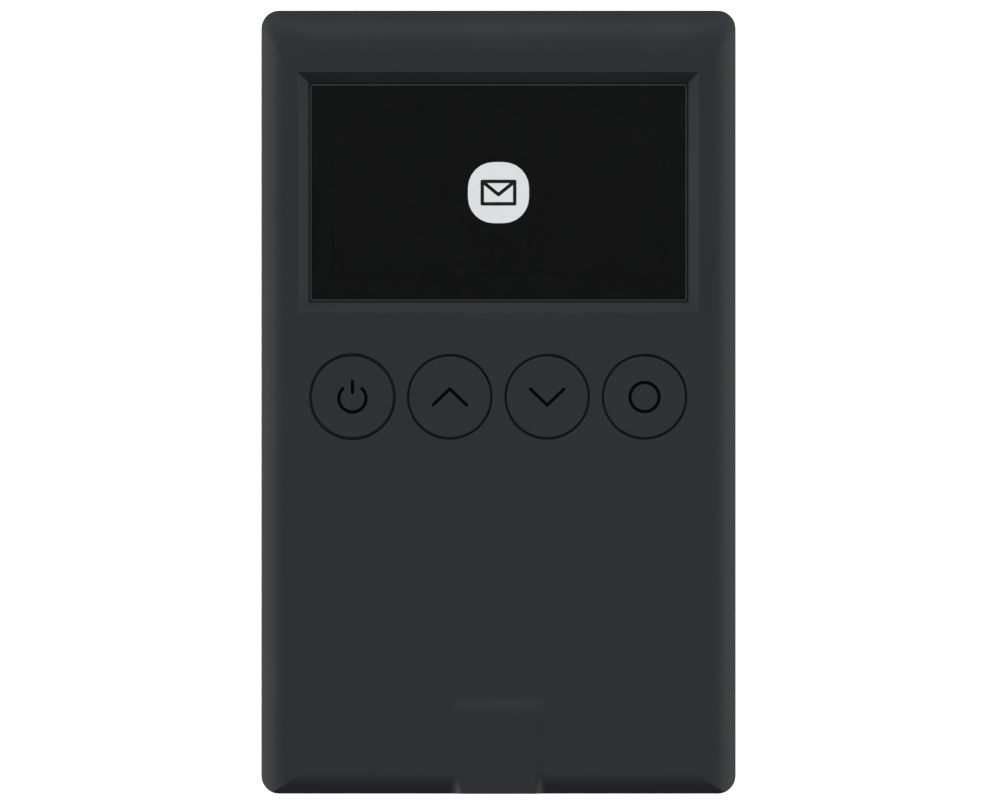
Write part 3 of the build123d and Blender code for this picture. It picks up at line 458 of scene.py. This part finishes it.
# ---------------------------------------------------------------- stage
class PAGER_OT_stage(bpy.types.Operator):
    """Pale floor, soft studio light and the camera straight above the front face"""
    bl_idname = "pager.stage"
    bl_label = "Stage"

    # brightness of each wall of the room: below the horizon, along it, and part way up
    walls = {
        "left": (1.15, 1.8, 0.02),
        "right": (1.0, 1.65, 0.02),
        "top": (0.31, 0.05, 1.6),
        "bottom": (0.02, 0.02, 0.02),
    }
    # tint of each wall
    tints = {
        "left": (1.0, 0.96, 0.9),
        "right": (1.0, 0.96, 0.9),
        "top": (1, 1, 1),
        "bottom": (1, 1, 1),
    }
    # brightness of the ceiling's edge, its crown, and the dark spot straight overhead
    ceiling = (0.4, 0.69, 0.054)
    # height span of each band, 0 straight down to 1 straight up; the walls' three come first
    bands = ((0.0, 0.485), (0.515, 0.66), (0.70, 0.84), (0.87, 0.95), (0.968, 0.9955), (0.9985, 1.0))
    # left, right and top soft boxes
    lamp_power = (0.1, 0.08, 0.08)
    lamp_places = ((-0.62, 0.02, 0.20), (0.62, 0.02, 0.20), (0.02, 0.66, 0.30))
    lamp_size = (0.75, 0.25)
    # long lens, so the view is almost parallel; millimetres
    focal_length = 800
    sensor_width = 36
    # width of what the camera sees at the front face, and the point it looks at
    view_width = 119.44 * MM
    view_centre = (0.179 * MM, 0.245 * MM)
    floor_size = 6
    floor_gap = 0.02 * MM

    def execute(self, context):
        low = cad_box[0]
        nothing()
        bpy.ops.mesh.primitive_plane_add(size=self.floor_size, location=(0, 0, low.z - self.floor_gap))
        floor = settle(bpy.context.object, "floor")
        dress(floor, self.floor_finish())
        floor.visible_glossy = False
        floor.visible_diffuse = False
        self.world()
        for name, place, power in zip(("left", "right", "top"), self.lamp_places, self.lamp_power):
            self.soft_box("soft_box_" + name, place, power)
        camera = bpy.data.cameras.new("camera")
        camera.lens = self.focal_length
        camera.sensor_width = self.sensor_width
        camera.clip_start = 0.05
        camera.clip_end = 30
        rig = bpy.data.objects.new("camera", camera)
        context.scene.collection.objects.link(rig)
        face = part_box("key_up")[1].z
        away = self.view_width * self.focal_length / self.sensor_width
        rig.location = (*self.view_centre, face + away)
        context.scene.camera = rig
        context.scene.view_settings.view_transform = "Standard"
        return {"FINISHED"}

    def floor_finish(self):
        material, nodes, links, shader, scale = start_material("floor_paper")
        broad = noise(nodes, links, scale, 60.0)
        tone = shades(nodes, links, broad.outputs["Fac"], (0.9, 0.9, 0.9), 0.01)
        links.new(tone.outputs["Color"], shader.inputs["Base Color"])
        shader.inputs["Roughness"].default_value = 0.9
        shader.inputs["Emission Color"].default_value = (1, 1, 1, 1)
        shader.inputs["Emission Strength"].default_value = 1.0
        geometry = nodes.new("ShaderNodeNewGeometry")
        clear = nodes.new("ShaderNodeBsdfTransparent")
        sides = nodes.new("ShaderNodeMixShader")
        links.new(geometry.outputs["Backfacing"], sides.inputs["Fac"])
        links.new(shader.outputs["BSDF"], sides.inputs[1])
        links.new(clear.outputs["BSDF"], sides.inputs[2])
        links.new(sides.outputs["Shader"], nodes["Material Output"].inputs["Surface"])
        return material

    def world(self):
        """Studio room whose walls and ceiling are soft bands of brightness."""
        world = bpy.data.worlds.new("studio")
        world.use_nodes = True
        bpy.context.scene.world = world
        nodes, links = world.node_tree.nodes, world.node_tree.links
        place = nodes.new("ShaderNodeTexCoord")
        split = nodes.new("ShaderNodeSeparateXYZ")
        links.new(place.outputs["Generated"], split.inputs["Vector"])
        lift = nodes.new("ShaderNodeMapRange")
        lift.inputs["From Min"].default_value = -1
        links.new(split.outputs["Z"], lift.inputs["Value"])

        def maths(kind, *values):
            """Result of one math node; each value is a number or a socket."""
            node = nodes.new("ShaderNodeMath")
            node.operation = kind
            for socket, value in zip(node.inputs, values):
                if isinstance(value, (int, float)):
                    socket.default_value = value
                else:
                    links.new(value, socket)
            return node.outputs[0]

        across = maths("MULTIPLY", split.outputs["X"], split.outputs["X"])
        along = maths("MULTIPLY", split.outputs["Y"], split.outputs["Y"])
        flat = maths("ADD", maths("ADD", across, along), 1e-6)
        ways = {"left": ("X", -1), "right": ("X", 1), "top": ("Y", 1), "bottom": ("Y", -1)}
        total = None
        for wall, (axis, sign) in ways.items():
            facing = maths("MAXIMUM", maths("MULTIPLY", split.outputs[axis], sign), 0)
            share = maths("DIVIDE", maths("MULTIPLY", facing, facing), flat)
            ramp = nodes.new("ShaderNodeValToRGB")
            colours = [tuple(level * part for part in self.tints[wall]) for level in self.walls[wall]]
            colours += [(level,) * 3 for level in self.ceiling]
            stops = [(edge, colour) for edges, colour in zip(self.bands, colours) for edge in edges]
            for end, (position, colour) in zip(ramp.color_ramp.elements, (stops[0], stops[-1])):
                end.position = position
                end.color = (*colour, 1)
            for position, colour in stops[1:-1]:
                ramp.color_ramp.elements.new(position).color = (*colour, 1)
            links.new(lift.outputs["Result"], ramp.inputs["Fac"])
            lit = nodes.new("ShaderNodeVectorMath")
            lit.operation = "SCALE"
            links.new(ramp.outputs["Color"], lit.inputs[0])
            links.new(share, lit.inputs["Scale"])
            if total is None:
                total = lit
                continue
            both = nodes.new("ShaderNodeVectorMath")
            both.operation = "ADD"
            links.new(total.outputs[0], both.inputs[0])
            links.new(lit.outputs[0], both.inputs[1])
            total = both
        links.new(total.outputs[0], nodes["Background"].inputs["Color"])

    def soft_box(self, name, place, power):
        lamp = bpy.data.lights.new(name, "AREA")
        lamp.shape = "RECTANGLE"
        lamp.size, lamp.size_y = self.lamp_size
        lamp.energy = power
        obj = bpy.data.objects.new(name, lamp)
        bpy.context.scene.collection.objects.link(obj)
        obj.location = place
        obj.rotation_euler = (-Vector(place)).to_track_quat("-Z", "Y").to_euler()


# ---------------------------------------------------------------- case
class PAGER_OT_case(bpy.types.Operator):
    """Moulded texture of the two covers, and the screws that hold them"""
    bl_idname = "pager.case"
    bl_label = "Case"

    def execute(self, context):
        settings = context.scene.pager_case
        plastic = case_plastic("case_plastic_grain", settings)
        give("front_cover", plastic)
        give("back_cover", plastic)
        give("cover_screws", plain_finish("black_zinc", (0.13, 0.13, 0.14), 0.3, 0.9, grain=0.12,
                                          height=0.002))
        give("thread_inserts", plain_finish("turned_brass", (0.72, 0.5, 0.2), 0.28, 1.0, grain=0.1,
                                            height=0.004, stretch=(1, 1, 9)))
        give("board_screws", plain_finish("bright_steel", (0.6, 0.6, 0.62), 0.25, 1.0, grain=0.1,
                                          height=0.002))
        return {"FINISHED"}


# ---------------------------------------------------------------- window
class PAGER_OT_lens(bpy.types.Operator):
    """Glass lens with a shallow ground bevel whose grey paints the highlight of the glass edge, and the dark
    print round its underside
    """
    bl_idname = "pager.lens"
    bl_label = "Lens"

    print_thickness = 0.03 * MM
    seam = 0.002 * MM
    bevel_drop = 0.02 * MM
    print_margin = 0.1 * MM

    def execute(self, context):
        settings = context.scene.pager_window
        low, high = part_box("display_lens")
        lens = block("lens_glass", (low.x, low.y, low.z + self.print_thickness + self.seam),
                     (high.x, high.y, high.z - self.bevel_drop), corner=settings.lens_corner)
        edit(lens, "FACE")
        pick(lens, "FACE", lambda f: f.normal.z > 0.9)
        bpy.ops.mesh.inset(thickness=settings.lens_chamfer, depth=self.bevel_drop)
        close()
        dress(lens, self.glass(), self.ground_edge_painted_glint())
        # the rim and sides take the grey that paints the edge highlight; the clear top and the bottom stay glass
        for face in lens.data.polygons:
            inner = face.normal.z > 0.9 and len(face.vertices) > 4
            face.material_index = 0 if inner or face.normal.z < -0.9 else 1
        smooth(lens, 4)
        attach(lens, "case")
        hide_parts("display_lens")
        self.border(low, high, settings)
        return {"FINISHED"}

    def border(self, low, high, settings):
        """Frame of dark print on the underside of the glass."""
        middle_point = (low + high) / 2
        edge = self.print_margin
        nothing()
        bpy.ops.mesh.primitive_plane_add(size=1, location=(middle_point.x, middle_point.y, low.z))
        frame_print = bpy.context.object
        frame_print.scale = (settings.active_width, settings.active_height, 1)
        settle(frame_print, "lens_print")
        edit(frame_print, "EDGE")
        bpy.ops.mesh.select_all(action="SELECT")
        bpy.ops.mesh.extrude_edges_move()
        grow = Vector(((high.x - low.x - 2 * edge) / settings.active_width,
                       (high.y - low.y - 2 * edge) / settings.active_height, 1))
        bpy.ops.transform.resize(value=grow, center_override=(middle_point.x, middle_point.y, low.z))
        bpy.ops.mesh.select_mode(type="FACE")
        bpy.ops.mesh.select_all(action="DESELECT")
        inside = settings.active_width * 0.25
        pick(frame_print, "FACE", lambda f: (f.calc_center_median() - middle_point).xy.length < inside)
        bpy.ops.mesh.delete(type="FACE")
        bpy.ops.mesh.select_all(action="SELECT")
        bpy.ops.mesh.extrude_region_move(TRANSFORM_OT_translate={"value": (0, 0, self.print_thickness)})
        close()
        outward(frame_print)
        dress(frame_print, self.print_ink())
        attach(frame_print, "case")

    def glass(self):
        material, nodes, links, shader, scale = start_material("lens_glass_clear")
        smear = noise(nodes, links, scale, 7.0)
        rough = wander(nodes, links, smear.outputs["Fac"], 0.015, 0.04)
        links.new(rough.outputs["Result"], shader.inputs["Roughness"])
        tone = shades(nodes, links, smear.outputs["Fac"], (0.86, 0.88, 0.89), 0.01)
        links.new(tone.outputs["Color"], shader.inputs["Base Color"])
        shader.inputs["Transmission Weight"].default_value = 1.0
        shader.inputs["IOR"].default_value = 1.5
        return material

    # matte ground rim and sides of the glass: a grey a little lighter than the case, a painted highlight
    # standing in for the light the glass edge catches
    def ground_edge_painted_glint(self):
        return plain_finish("lens_edge_painted_glint", (0.031, 0.035, 0.042), 0.45, grain=0.06, height=0.002,
                            spread=0.1)

    def print_ink(self):
        return plain_finish("lens_print_ink", (0.0062, 0.0068, 0.0073), 0.5, grain=0.2, height=0.0005,
                            spread=0.05, sockets={"Specular IOR Level": 0.1})


class PAGER_OT_display(bpy.types.Operator):
    """Display panel under the lens, with its polariser, glasses, driver chip and flex"""
    bl_idname = "pager.display"
    bl_label = "Display"

    # how far the clear part of the panel runs on under the lens print, and how far a face of it can reach
    under_print = 0.1 * MM
    face_reach = 0.2 * MM

    def execute(self, context):
        settings = context.scene.pager_window
        low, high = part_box("display_polariser")
        panel = block("display_panel", low, high)
        border = (high.x - low.x - settings.active_width) / 2 - self.under_print
        edit(panel, "FACE")
        pick(panel, "FACE", lambda f: f.normal.z > 0.9)
        bpy.ops.mesh.inset(thickness=border)
        close()
        eased(panel, 0.02 * MM)
        dress(panel, self.film("panel_border", (0.003, 0.003, 0.0035)),
              self.film("panel_dark_pixels", (0.0016, 0.0018, 0.0022)))
        half = settings.active_width / 2 + self.face_reach
        for face in panel.data.polygons:
            spread = max(abs(panel.data.vertices[v].co.x) for v in face.vertices)
            face.material_index = 1 if face.normal.z > 0.9 and spread < half else 0
        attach(panel, "case")
        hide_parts("display_polariser")
        clear = plain_finish("display_glass_edge", (0.10, 0.13, 0.13), 0.08, grain=2.0, height=0.0,
                             sockets={"Transmission Weight": 0.6})
        give("display_substrate", clear)
        give("display_cap", plain_finish("display_back_film", (0.22, 0.2, 0.14), 0.3, 0.6, grain=0.5,
                                         height=0.001))
        give("display_gasket", plain_finish("gasket_cells", (0.02, 0.02, 0.022), 0.95, grain=0.12,
                                            height=0.03, spread=0.25))
        tape = plain_finish("tape_weave", (0.012, 0.012, 0.013), 0.8, grain=0.25, height=0.006)
        for node in ("lens_tape", "display_tape", "battery_tape"):
            give(node, tape)
        chip = plain_finish("chip_mould", (0.018, 0.018, 0.02), 0.55, grain=0.08, height=0.006)
        for node in ("display_driver", "processor", "memory_chip", "radio_chip", "power_chip"):
            give(node, chip)
        flex = self.flex_finish()
        give("display_flex", flex)
        give("link_flex", flex)
        return {"FINISHED"}

    def film(self, name, colour):
        return plain_finish(name, colour, 0.28, grain=0.06, height=0.0004, spread=0.04,
                            sockets={"Specular IOR Level": 0.12})

    def flex_finish(self):
        """Amber film with copper lines showing through it."""
        material, nodes, links, shader, scale = start_material("flex_lines")
        lines = nodes.new("ShaderNodeTexWave")
        lines.bands_direction = "X"
        lines.inputs["Scale"].default_value = 0.9
        links.new(scale.outputs["Vector"], lines.inputs["Vector"])
        ramp = nodes.new("ShaderNodeValToRGB")
        ramp.color_ramp.elements[0].position = 0.45
        ramp.color_ramp.elements[1].position = 0.55
        ramp.color_ramp.elements[0].color = (0.33, 0.12, 0.015, 1)
        ramp.color_ramp.elements[1].color = (0.62, 0.28, 0.05, 1)
        links.new(lines.outputs["Fac"], ramp.inputs["Fac"])
        links.new(ramp.outputs["Color"], shader.inputs["Base Color"])
        fine = noise(nodes, links, scale, 0.5)
        rough = wander(nodes, links, fine.outputs["Fac"], 0.25, 0.35)
        links.new(rough.outputs["Result"], shader.inputs["Roughness"])
        relief(nodes, links, shader, lines.outputs["Fac"], 0.01)
        return material


class PAGER_OT_message_icon(bpy.types.Operator):
    """Lit badge with a line drawing of an envelope, for a waiting message"""
    bl_idname = "pager.message_icon"
    bl_label = "Message icon"

    pixel_sheet = 0.03 * MM
    line_sheet = 0.02 * MM
    line = 0.42 * MM

    def execute(self, context):
        settings = context.scene.pager_window
        centre = middle("display_lens")
        panel_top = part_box("display_polariser")[1].z
        half = settings.badge_width / 2
        bottom = panel_top + self.pixel_sheet
        badge = block("icon_badge", (centre.x - half, centre.y - half, panel_top),
                      (centre.x + half, centre.y + half, bottom), corner=settings.badge_corner)
        dress(badge, self.lit(settings.icon_light))
        wide, tall = settings.icon_width / 2 - self.line / 2, settings.icon_height / 2 - self.line / 2
        left, right = centre.x - wide, centre.x + wide
        low, high = centre.y - tall, centre.y + tall
        point = (centre.x, centre.y - tall * 0.18)
        runs = (((left, low), (right, low)), ((right, low), (right, high)), ((right, high), (left, high)),
                ((left, high), (left, low)), ((left, high), point), ((right, high), point))
        lines = [bar("line", start, end, self.line, bottom, bottom + self.line_sheet) for start, end in runs]
        envelope = fused(lines, "icon_envelope")
        dress(envelope, plain_finish("icon_dark_lines", (0.002, 0.002, 0.0025), 0.6, grain=0.05, height=0.0))
        for piece in (badge, envelope):
            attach(piece, "case")
        return {"FINISHED"}

    def lit(self, strength):
        """Lit cells of the display: a fine grid in an even white glow."""
        material, nodes, links, shader, scale = start_material("icon_lit_pixels")
        grid = nodes.new("ShaderNodeTexChecker")
        grid.inputs["Scale"].default_value = 8.0
        grid.inputs["Color1"].default_value = (1.0, 1.0, 1.0, 1)
        grid.inputs["Color2"].default_value = (0.965, 0.975, 0.975, 1)
        links.new(scale.outputs["Vector"], grid.inputs["Vector"])
        links.new(grid.outputs["Color"], shader.inputs["Emission Color"])
        shader.inputs["Emission Strength"].default_value = strength
        shader.inputs["Base Color"].default_value = (0.02, 0.02, 0.02, 1)
        shader.inputs["Roughness"].default_value = 0.5
        return material


# ---------------------------------------------------------------- keys
class PAGER_OT_keys(bpy.types.Operator):
    """Texture of the four keys, and a near-black fill in their engraved legends that paints the shade of the
    engraving
    """
    bl_idname = "pager.keys"
    bl_label = "Keys"

    ring_radius = 1.63 * MM
    ring_drop = 0.155 * MM
    ring_open = (46, 134)
    stem = (0.53 * MM, 1.86 * MM)
    chevron = (2.0 * MM, 0.96 * MM)
    select_radius = 1.74 * MM
    engraving_floor = 0.19 * MM
    # thickness of the near-black fill that paints the shade in the engraving
    paint = 0.035 * MM

    def execute(self, context):
        plastic = case_plastic("key_plastic_grain", context.scene.pager_case)
        settings = context.scene.pager_legends
        # near-black fill at the floor of each engraving: painted shade of the engraved lines
        engraving_shade = plain_finish("legend_painted_shade", settings.engraving_shade, 0.6, grain=0.1, height=0.002, spread=0.1,
                           sockets={"Specular IOR Level": 0.05})
        width = settings.stroke
        for name in KEYS:
            give("key_" + name, plastic)
            centre = middle("key_" + name)
            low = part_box("key_" + name)[1].z - self.engraving_floor
            high = low + self.paint
            legend = getattr(self, name)(centre, width, low, high)
            dress(legend, engraving_shade)
            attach(legend, name + "_key")
        return {"FINISHED"}

    def power(self, centre, width, low, high):
        middle_point = Vector((centre.x, centre.y - self.ring_drop))
        start, end = self.ring_open
        inner, outer = self.ring_radius - width / 2, self.ring_radius + width / 2
        parts = [ring("arc", middle_point, inner, outer, low, high,
                      keep=lambda a: not start < a < end, vertices=90)]
        for angle in self.ring_open:
            turn = math.radians(angle)
            tip = middle_point + self.ring_radius * Vector((math.cos(turn), math.sin(turn)))
            aside = 0.01 * MM * Vector((-math.sin(turn), math.cos(turn)))
            parts.append(bar("tip", tip - aside, tip + aside, width, low, high))
        parts.append(bar("stem", (centre.x, centre.y + self.stem[0]), (centre.x, centre.y + self.stem[1]),
                         width, low, high))
        return fused(parts, "legend_power")

    def wings(self, centre, width, low, high, way, name):
        reach, rise = self.chevron
        parts = [bar("wing", (centre.x + side * reach, centre.y - way * rise), (centre.x, centre.y + way * rise),
                     width, low, high) for side in (-1, 1)]
        return fused(parts, name)

    def up(self, centre, width, low, high):
        return self.wings(centre, width, low, high, 1, "legend_up")

    def down(self, centre, width, low, high):
        return self.wings(centre, width, low, high, -1, "legend_down")

    def select(self, centre, width, low, high):
        return ring("legend_select", centre, self.select_radius - width / 2, self.select_radius + width / 2,
                    low, high)


class PAGER_OT_domes(bpy.types.Operator):
    """Snap domes under the keys, built in their resting shape; the real ones flatten as the keys go down"""
    bl_idname = "pager.domes"
    bl_label = "Snap domes"

    sheet = 0.08 * MM
    steps = 8
    dimple = 0.02 * MM

    def execute(self, context):
        steel = plain_finish("dome_spring_steel", (0.62, 0.62, 0.64), 0.22, 1.0, grain=0.15, height=0.003,
                             stretch=(1, 12, 1))
        for name in KEYS:
            dome = self.dome("dome_" + name)
            dress(dome, steel)
            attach(dome, "case")
            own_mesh(dome)
            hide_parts("dome_" + name)
        give("dome_film", plain_finish("film_haze", (0.55, 0.53, 0.46), 0.35, grain=1.2, height=0.002,
                                       sockets={"Transmission Weight": 0.3}))
        return {"FINISHED"}

    def dome(self, node):
        """Cap of a sphere with a flat rim and a dimple at its crown."""
        low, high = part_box(node)
        centre = (low + high) / 2
        radius, rise = (high.x - low.x) / 2, high.z - low.z
        ball = (radius ** 2 + rise ** 2) / (2 * rise)
        nothing()
        bpy.ops.mesh.primitive_circle_add(vertices=48, radius=radius, fill_type="NGON",
                                          location=(centre.x, centre.y, low.z))
        dome = settle(bpy.context.object, "snap_" + node)
        edit(dome, "FACE")
        bpy.ops.mesh.select_all(action="SELECT")
        run = radius
        for step in range(1, self.steps):
            nearer = radius * (1 - step / self.steps)
            lift = math.sqrt(ball ** 2 - nearer ** 2) - math.sqrt(ball ** 2 - run ** 2)
            if step == self.steps - 1:
                lift = -self.dimple
            bpy.ops.mesh.inset(thickness=run - nearer, depth=0)
            bpy.ops.transform.translate(value=(0, 0, lift))
            run = nearer
        close()
        only(dome)
        wall = dome.modifiers.new("wall", "SOLIDIFY")
        wall.thickness = self.sheet
        wall.offset = -1
        bpy.ops.object.modifier_apply(modifier=wall.name)
        edit(dome, "VERT")
        pick(dome, "VERT", lambda v: v.co.z < low.z)
        bpy.ops.transform.resize(value=(1, 1, 0), center_override=(centre.x, centre.y, low.z))
        close()
        return smooth(outward(dome), 40)


# ---------------------------------------------------------------- boards
class PAGER_OT_boards(bpy.types.Operator):
    """Circuit boards with their pads, sockets, chips and small parts"""
    bl_idname = "pager.boards"
    bl_label = "Boards"

    # gold pads: the sheet, and the inner and outer radius of the spot and of the rim
    pad_sheet = 0.02 * MM
    spot_radii = (0.2 * MM, 0.75 * MM)
    rim_radii = (1.5 * MM, 2.2 * MM)
    # capacitors, in millimetres: length of one, and of its tinned end
    capacitor_length = 1.6
    tinned_length = 0.32
    tin_sheet = 0.012 * MM

    def execute(self, context):
        board = circuit_board("board_mask_green", (0.012, 0.085, 0.035), (0.03, 0.16, 0.06))
        for node in ("main_board", "port_board", "battery_board"):
            give(node, board)
        resin = plain_finish("socket_resin_natural", (0.66, 0.6, 0.48), 0.5, grain=0.12, height=0.004)
        for node in ("display_connector", "battery_socket", "battery_plug", "link_sockets", "link_plugs"):
            give(node, resin)
        tin = plain_finish("shield_tinplate", (0.66, 0.66, 0.65), 0.3, 1.0, grain=0.3, height=0.003,
                           stretch=(14, 1, 1))
        give("radio_shield", tin)
        give("radio_crystal", tin)
        give("power_coil", plain_finish("coil_ferrite", (0.05, 0.05, 0.055), 0.7, grain=0.1, height=0.01))
        give("capacitors", plain_finish("fired_ceramic", (0.42, 0.3, 0.19), 0.55, grain=0.1, height=0.003))
        give("antenna_strip", plain_finish("plated_copper", (0.85, 0.55, 0.32), 0.25, 1.0, grain=0.2,
                                           height=0.002, stretch=(1, 10, 1)))
        self.pads()
        self.caps()
        return {"FINISHED"}

    def pads(self):
        """Gold dome pads: an outer ring and a middle spot under each dome."""
        gold = plain_finish("pad_gold", (0.8, 0.6, 0.25), 0.25, 1.0, grain=0.2, height=0.001)
        for name in KEYS:
            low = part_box("dome_" + name)[0]
            centre = middle("dome_" + name)
            spot = ring("spot", centre, *self.spot_radii, low.z, low.z + self.pad_sheet)
            rim = ring("rim", centre, *self.rim_radii, low.z, low.z + self.pad_sheet)
            pad = joined([spot, rim], "pad_" + name)
            dress(pad, gold)
            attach(pad, "case")

    def caps(self):
        """Tinned ends of the capacitors."""
        low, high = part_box("capacitors")
        tin = plain_finish("capacitor_ends", (0.7, 0.7, 0.7), 0.35, 1.0, grain=0.08, height=0.002)
        points = [vertex.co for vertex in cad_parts["capacitors"].data.vertices]
        columns = sorted({round(point.x * PER_MM, 2) for point in points})
        rows = sorted({round(point.y * PER_MM, 2) for point in points})
        ends = []
        thin = self.tin_sheet
        for x in columns:
            way = 1 if any(abs(other - x - self.capacitor_length) < 0.05 for other in columns) else -1
            edge, inner = x * MM - way * thin, (x + way * self.tinned_length) * MM
            for y_low, y_high in zip(rows[0::2], rows[1::2]):
                ends.append(block("end", (min(edge, inner), y_low * MM - thin, low.z - thin),
                                  (max(edge, inner), y_high * MM + thin, high.z), ease=0.02 * MM))
        caps = joined(ends, "capacitor_end_caps")
        dress(caps, tin)
        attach(caps, "case")


# ---------------------------------------------------------------- battery
class PAGER_OT_battery(bpy.types.Operator):
    """Foil pouch cell with its sealed edge and blank label, and its two leads"""
    bl_idname = "pager.battery"
    bl_label = "Battery"

    # clear foil left beside the label: at the left, at the right, and above and below
    label_left, label_right, label_ends = 4 * MM, 12 * MM, 3.5 * MM
    label_sheet = 0.05 * MM

    def execute(self, context):
        foil = plain_finish("cell_foil_crinkle", (0.56, 0.57, 0.59), 0.36, 0.9, grain=1.1, height=0.05,
                            spread=0.06)
        give("battery_cell", foil)
        low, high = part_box("battery_cell")
        label = block("cell_label", (low.x + self.label_left, low.y + self.label_ends, high.z),
                      (high.x - self.label_right, high.y - self.label_ends, high.z + self.label_sheet),
                      corner=1 * MM)
        dress(label, self.paper())
        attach(label, "case")
        give("battery_leads", plain_finish("lead_red", (0.42, 0.02, 0.015), 0.4, grain=0.3, height=0.002))
        return {"FINISHED"}

    def paper(self):
        """Pale label with a plain amber band."""
        material, nodes, links, shader, scale = start_material("label_paper")
        split = nodes.new("ShaderNodeSeparateXYZ")
        links.new(scale.outputs["Vector"], split.inputs["Vector"])
        band = nodes.new("ShaderNodeValToRGB")
        band.color_ramp.interpolation = "CONSTANT"
        band.color_ramp.elements[0].color = (0.62, 0.6, 0.55, 1)
        band.color_ramp.elements[1].position = 0.5
        band.color_ramp.elements[1].color = (0.62, 0.28, 0.04, 1)
        span = nodes.new("ShaderNodeMapRange")
        low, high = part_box("battery_cell")
        span.inputs["From Min"].default_value = low.y * PER_MM - 4
        span.inputs["From Max"].default_value = low.y * PER_MM + 17
        links.new(split.outputs["Y"], span.inputs["Value"])
        links.new(span.outputs["Result"], band.inputs["Fac"])
        links.new(band.outputs["Color"], shader.inputs["Base Color"])
        fine = noise(nodes, links, scale, 0.3)
        rough = wander(nodes, links, fine.outputs["Fac"], 0.5, 0.65)
        links.new(rough.outputs["Result"], shader.inputs["Roughness"])
        relief(nodes, links, shader, fine.outputs["Fac"], 0.004)
        return material


# ---------------------------------------------------------------- port, motor and sounder
class PAGER_OT_port(bpy.types.Operator):
    """Charge receptacle: drawn shell, tongue and plated contacts"""
    bl_idname = "pager.port"
    bl_label = "Charge port"

    def execute(self, context):
        give("port_shell", plain_finish("shell_nickel", (0.5, 0.5, 0.51), 0.3, 1.0, grain=0.2, height=0.002,
                                        stretch=(1, 9, 1)))
        give("port_tongue", plain_finish("tongue_black", (0.018, 0.018, 0.02), 0.5, grain=0.1, height=0.003))
        give("port_contacts", plain_finish("contact_plating", (0.83, 0.62, 0.26), 0.22, 1.0, grain=0.1,
                                           height=0.001))
        return {"FINISHED"}


class PAGER_OT_alerts(bpy.types.Operator):
    """Vibration motor in its boot, and the sounder disc with its springs"""
    bl_idname = "pager.alerts"
    bl_label = "Motor and sounder"

    def execute(self, context):
        drawn = plain_finish("motor_drawn_steel", (0.58, 0.58, 0.6), 0.26, 1.0, grain=0.15, height=0.003,
                             stretch=(1, 10, 1))
        give("motor_can", drawn)
        give("motor_shaft", drawn)
        give("motor_weight", plain_finish("weight_sintered", (0.3, 0.3, 0.31), 0.5, 1.0, grain=0.08,
                                          height=0.01))
        give("motor_boot", plain_finish("boot_rubber_black", (0.015, 0.015, 0.016), 0.85, grain=0.2,
                                        height=0.008))
        give("motor_leads", plain_finish("motor_lead_blue", (0.02, 0.05, 0.3), 0.4, grain=0.3, height=0.002))
        give("sounder_disc", plain_finish("disc_brass", (0.75, 0.52, 0.2), 0.27, 1.0, grain=0.2, height=0.002,
                                          stretch=(12, 1, 1)))
        give("sounder_ceramic", plain_finish("ceramic_silver", (0.6, 0.6, 0.58), 0.45, 0.4, grain=0.1,
                                             height=0.002))
        give("sounder_springs", plain_finish("spring_plated", (0.75, 0.62, 0.36), 0.25, 1.0, grain=0.1,
                                             height=0.001))
        return {"FINISHED"}


# ---------------------------------------------------------------- panel and running order
OPERATORS = (PAGER_OT_stage, PAGER_OT_case, PAGER_OT_lens, PAGER_OT_display, PAGER_OT_message_icon,
             PAGER_OT_keys, PAGER_OT_domes, PAGER_OT_boards, PAGER_OT_battery, PAGER_OT_port,
             PAGER_OT_alerts)


class PAGER_PT_looks(bpy.types.Panel):
    """Sizes, colours and pieces of the pager"""
    bl_label = "Pager"
    bl_idname = "PAGER_PT_looks"
    bl_space_type = "VIEW_3D"
    bl_region_type = "UI"
    bl_category = "Pager"

    def draw(self, context):
        for group in ("pager_case", "pager_window", "pager_legends"):
            settings = getattr(context.scene, group)
            for name in settings.__annotations__:
                self.layout.prop(settings, name)
        for operator in OPERATORS:
            self.layout.operator(operator.bl_idname)


GROUPS = {"pager_case": PAGER_PG_case, "pager_window": PAGER_PG_window, "pager_legends": PAGER_PG_legends}
CLASSES = (*GROUPS.values(), *OPERATORS, PAGER_PT_looks)


def register():
    for cls in CLASSES:
        bpy.utils.register_class(cls)
    for name, cls in GROUPS.items():
        setattr(bpy.types.Scene, name, PointerProperty(type=cls))


def unregister():
    for name in GROUPS:
        delattr(bpy.types.Scene, name)
    for cls in reversed(CLASSES):
        bpy.utils.unregister_class(cls)


def main():
    register()
    for operator in OPERATORS:
        group, name = operator.bl_idname.split(".")
        getattr(getattr(bpy.ops, group), name)()


if __name__ == "__main__":
    main()
